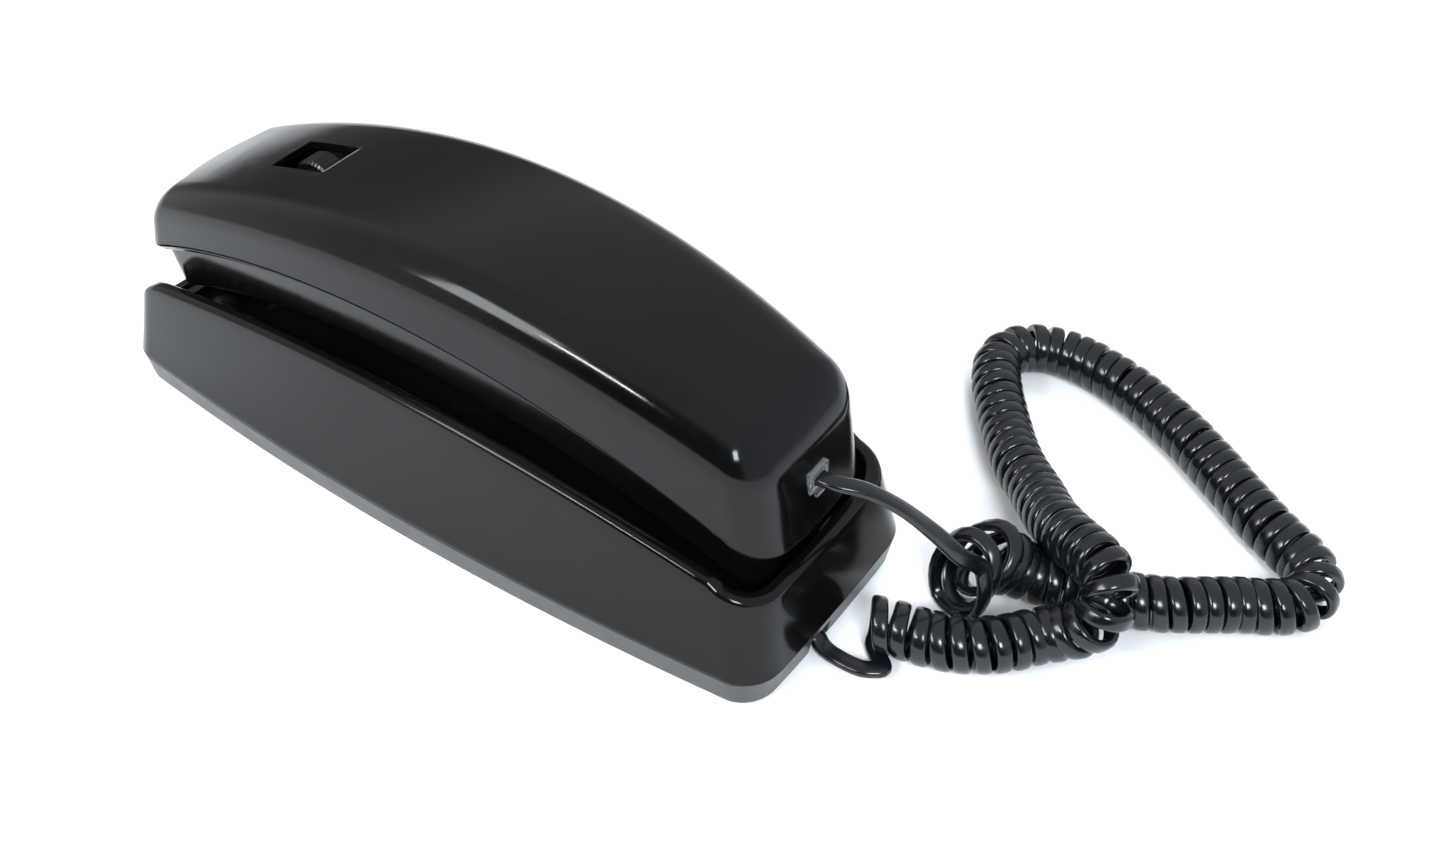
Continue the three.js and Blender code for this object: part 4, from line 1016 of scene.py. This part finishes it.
def bridge(a, b, spacing):
    """A short smooth run from the end of one line to the start of the next."""
    p0, p1 = a[-1], b[0]
    gap = np.linalg.norm(p1 - p0)
    d0, d1 = unit(a[-1] - a[-2]) * gap, unit(b[1] - b[0]) * gap
    count = max(3, int(gap / spacing) + 1)
    t = np.linspace(0, 1, count + 1)[1:-1, None]
    return ((2 * t ** 3 - 3 * t ** 2 + 1) * p0 + (t ** 3 - 2 * t ** 2 + t) * d0
            + (-2 * t ** 3 + 3 * t ** 2) * p1 + (t ** 3 - t ** 2) * d1)


# ------------------------------------------------------------------ floor and light

def floor():
    data = bpy.data.meshes.new("floor")
    data.from_pydata([(-6, -6, 0), (6, -6, 0), (6, 6, 0), (-6, 6, 0)], [], [(0, 1, 2, 3)])
    table = bpy.data.objects.new("floor", data)
    bpy.context.scene.collection.objects.link(table)
    material, nodes, links, shader = principled("floor_white")
    drift = texture(nodes, links, "ShaderNodeTexNoise", 3, Detail=2.0)
    colour = shader.inputs["Base Color"]
    tint(nodes, links, drift.outputs["Fac"], (0.88, 0.885, 0.9), (0.9, 0.905, 0.915), colour)
    shader.inputs["Roughness"].default_value = 0.7
    shader.inputs["Specular IOR Level"].default_value = 0.1
    data.materials.append(material)


def area_light(name, place, target, size_x, size_y, power, color=(1, 1, 1), glossy=True):
    data = bpy.data.lights.new(name, "AREA")
    data.shape = "RECTANGLE"
    data.size, data.size_y = size_x, size_y
    data.energy = power
    data.color = color
    light = bpy.data.objects.new(name, data)
    bpy.context.scene.collection.objects.link(light)
    light.location = place
    light.rotation_euler = (Vector(target) - Vector(place)).to_track_quat("-Z", "Y").to_euler()
    light.visible_glossy = glossy


def room():
    """A pale room, cooler beyond the cord end and warmer beyond the ear end.

    It is dark low beyond the visible long side, and dim low beyond the ear end towards the far side."""
    world = bpy.data.worlds.new("studio")
    world.use_nodes = True
    nodes, links = world.node_tree.nodes, world.node_tree.links
    background = nodes["Background"]
    direction = nodes.new("ShaderNodeTexCoord")

    def towards(vector, low, high):
        dot = nodes.new("ShaderNodeVectorMath")
        dot.operation = "DOT_PRODUCT"
        dot.inputs[1].default_value = Vector(vector).normalized()
        links.new(direction.outputs["Generated"], dot.inputs[0])
        ramp = nodes.new("ShaderNodeMapRange")
        ramp.interpolation_type = "SMOOTHSTEP"
        ramp.inputs["From Min"].default_value, ramp.inputs["From Max"].default_value = low, high
        links.new(dot.outputs["Value"], ramp.inputs["Value"])
        return ramp.outputs["Result"]

    def mix(factor, a, b):
        node = nodes.new("ShaderNodeMix")
        node.data_type = "RGBA"
        links.new(factor, node.inputs["Factor"])
        for socket, value in ((node.inputs[6], a), (node.inputs[7], b)):
            if isinstance(value, tuple):
                socket.default_value = (*value, 1)
            else:
                links.new(value, socket)
        return node.outputs[2]

    along = mix(towards((0, 1, 0), -0.5, 0.5), (0.8, 0.86, 0.95), (0.88, 0.86, 0.84))
    shaded = mix(towards((-0.93, -0.3, 0.24), 0.62, 0.88), along, (0.02, 0.02, 0.022))
    shaded = mix(towards((0.6, 0.8, 0.05), 0.8, 0.98), shaded, (0.2, 0.2, 0.205))
    links.new(shaded, background.inputs["Color"])
    background.inputs["Strength"].default_value = 1.0
    bpy.context.scene.world = world
    bpy.context.scene.view_settings.view_transform = "Standard"


def lighting():
    area_light("strip", (-0.84, 0.08, 0.74), (0, 0, 0.05), 0.3, 0.05, 4.4, (1.0, 0.96, 0.9))
    area_light("soft_strip", (-0.82, 0.44, 0.8), (0, 0, 0.05), 0.42, 0.42, 8, (0.86, 0.94, 1.0))
    area_light("corner", (-0.58, -0.68, 0.8), (0, 0, 0.05), 0.26, 0.3, 10, (0.84, 0.93, 1.0))
    area_light("fill", (-1.3, -1.0, 1.5), (0, 0, 0), 1.2, 1.2, 12, (0.94, 0.97, 1.0), glossy=False)
    area_light("window_side", (1.4, 0.1, 1.7), (0, 0, 0), 1.3, 1.3, 26, (0.92, 0.96, 1.0), glossy=False)


# ------------------------------------------------------------------ assembly

camera()
tube, line = cord()
handset_plug = plug("handset_plug_clear", HANDSET_PLUG, "handset", "handset_plug")
base_plug = plug("base_plug_clear", BASE_PLUG, "base", "base_plug")
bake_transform(tube)
floor()
room()
lighting()
base_housing()
base_pan()
handset_back()
handset_face()
thumbwheel()
finger_wheel()
digits()
face_cap("receiver_cap_smooth", RECEIVER_Y, [(0, 1), (6, 6)], "receiver_cap")
face_cap("mouthpiece_cap_smooth", MOUTHPIECE_Y, [(7, 6)], "mouthpiece_cap")

for entry in frame["record"]["subparts"]:
    node = frame["nodes"][entry["node"]]
    if not node.hide_render:
        paint(node, entry["material_slot"])
        if entry["material_slot"] in ("satin_black", "ivory", "rubber"):
            round_edges(node, 0.2, 2, 50)
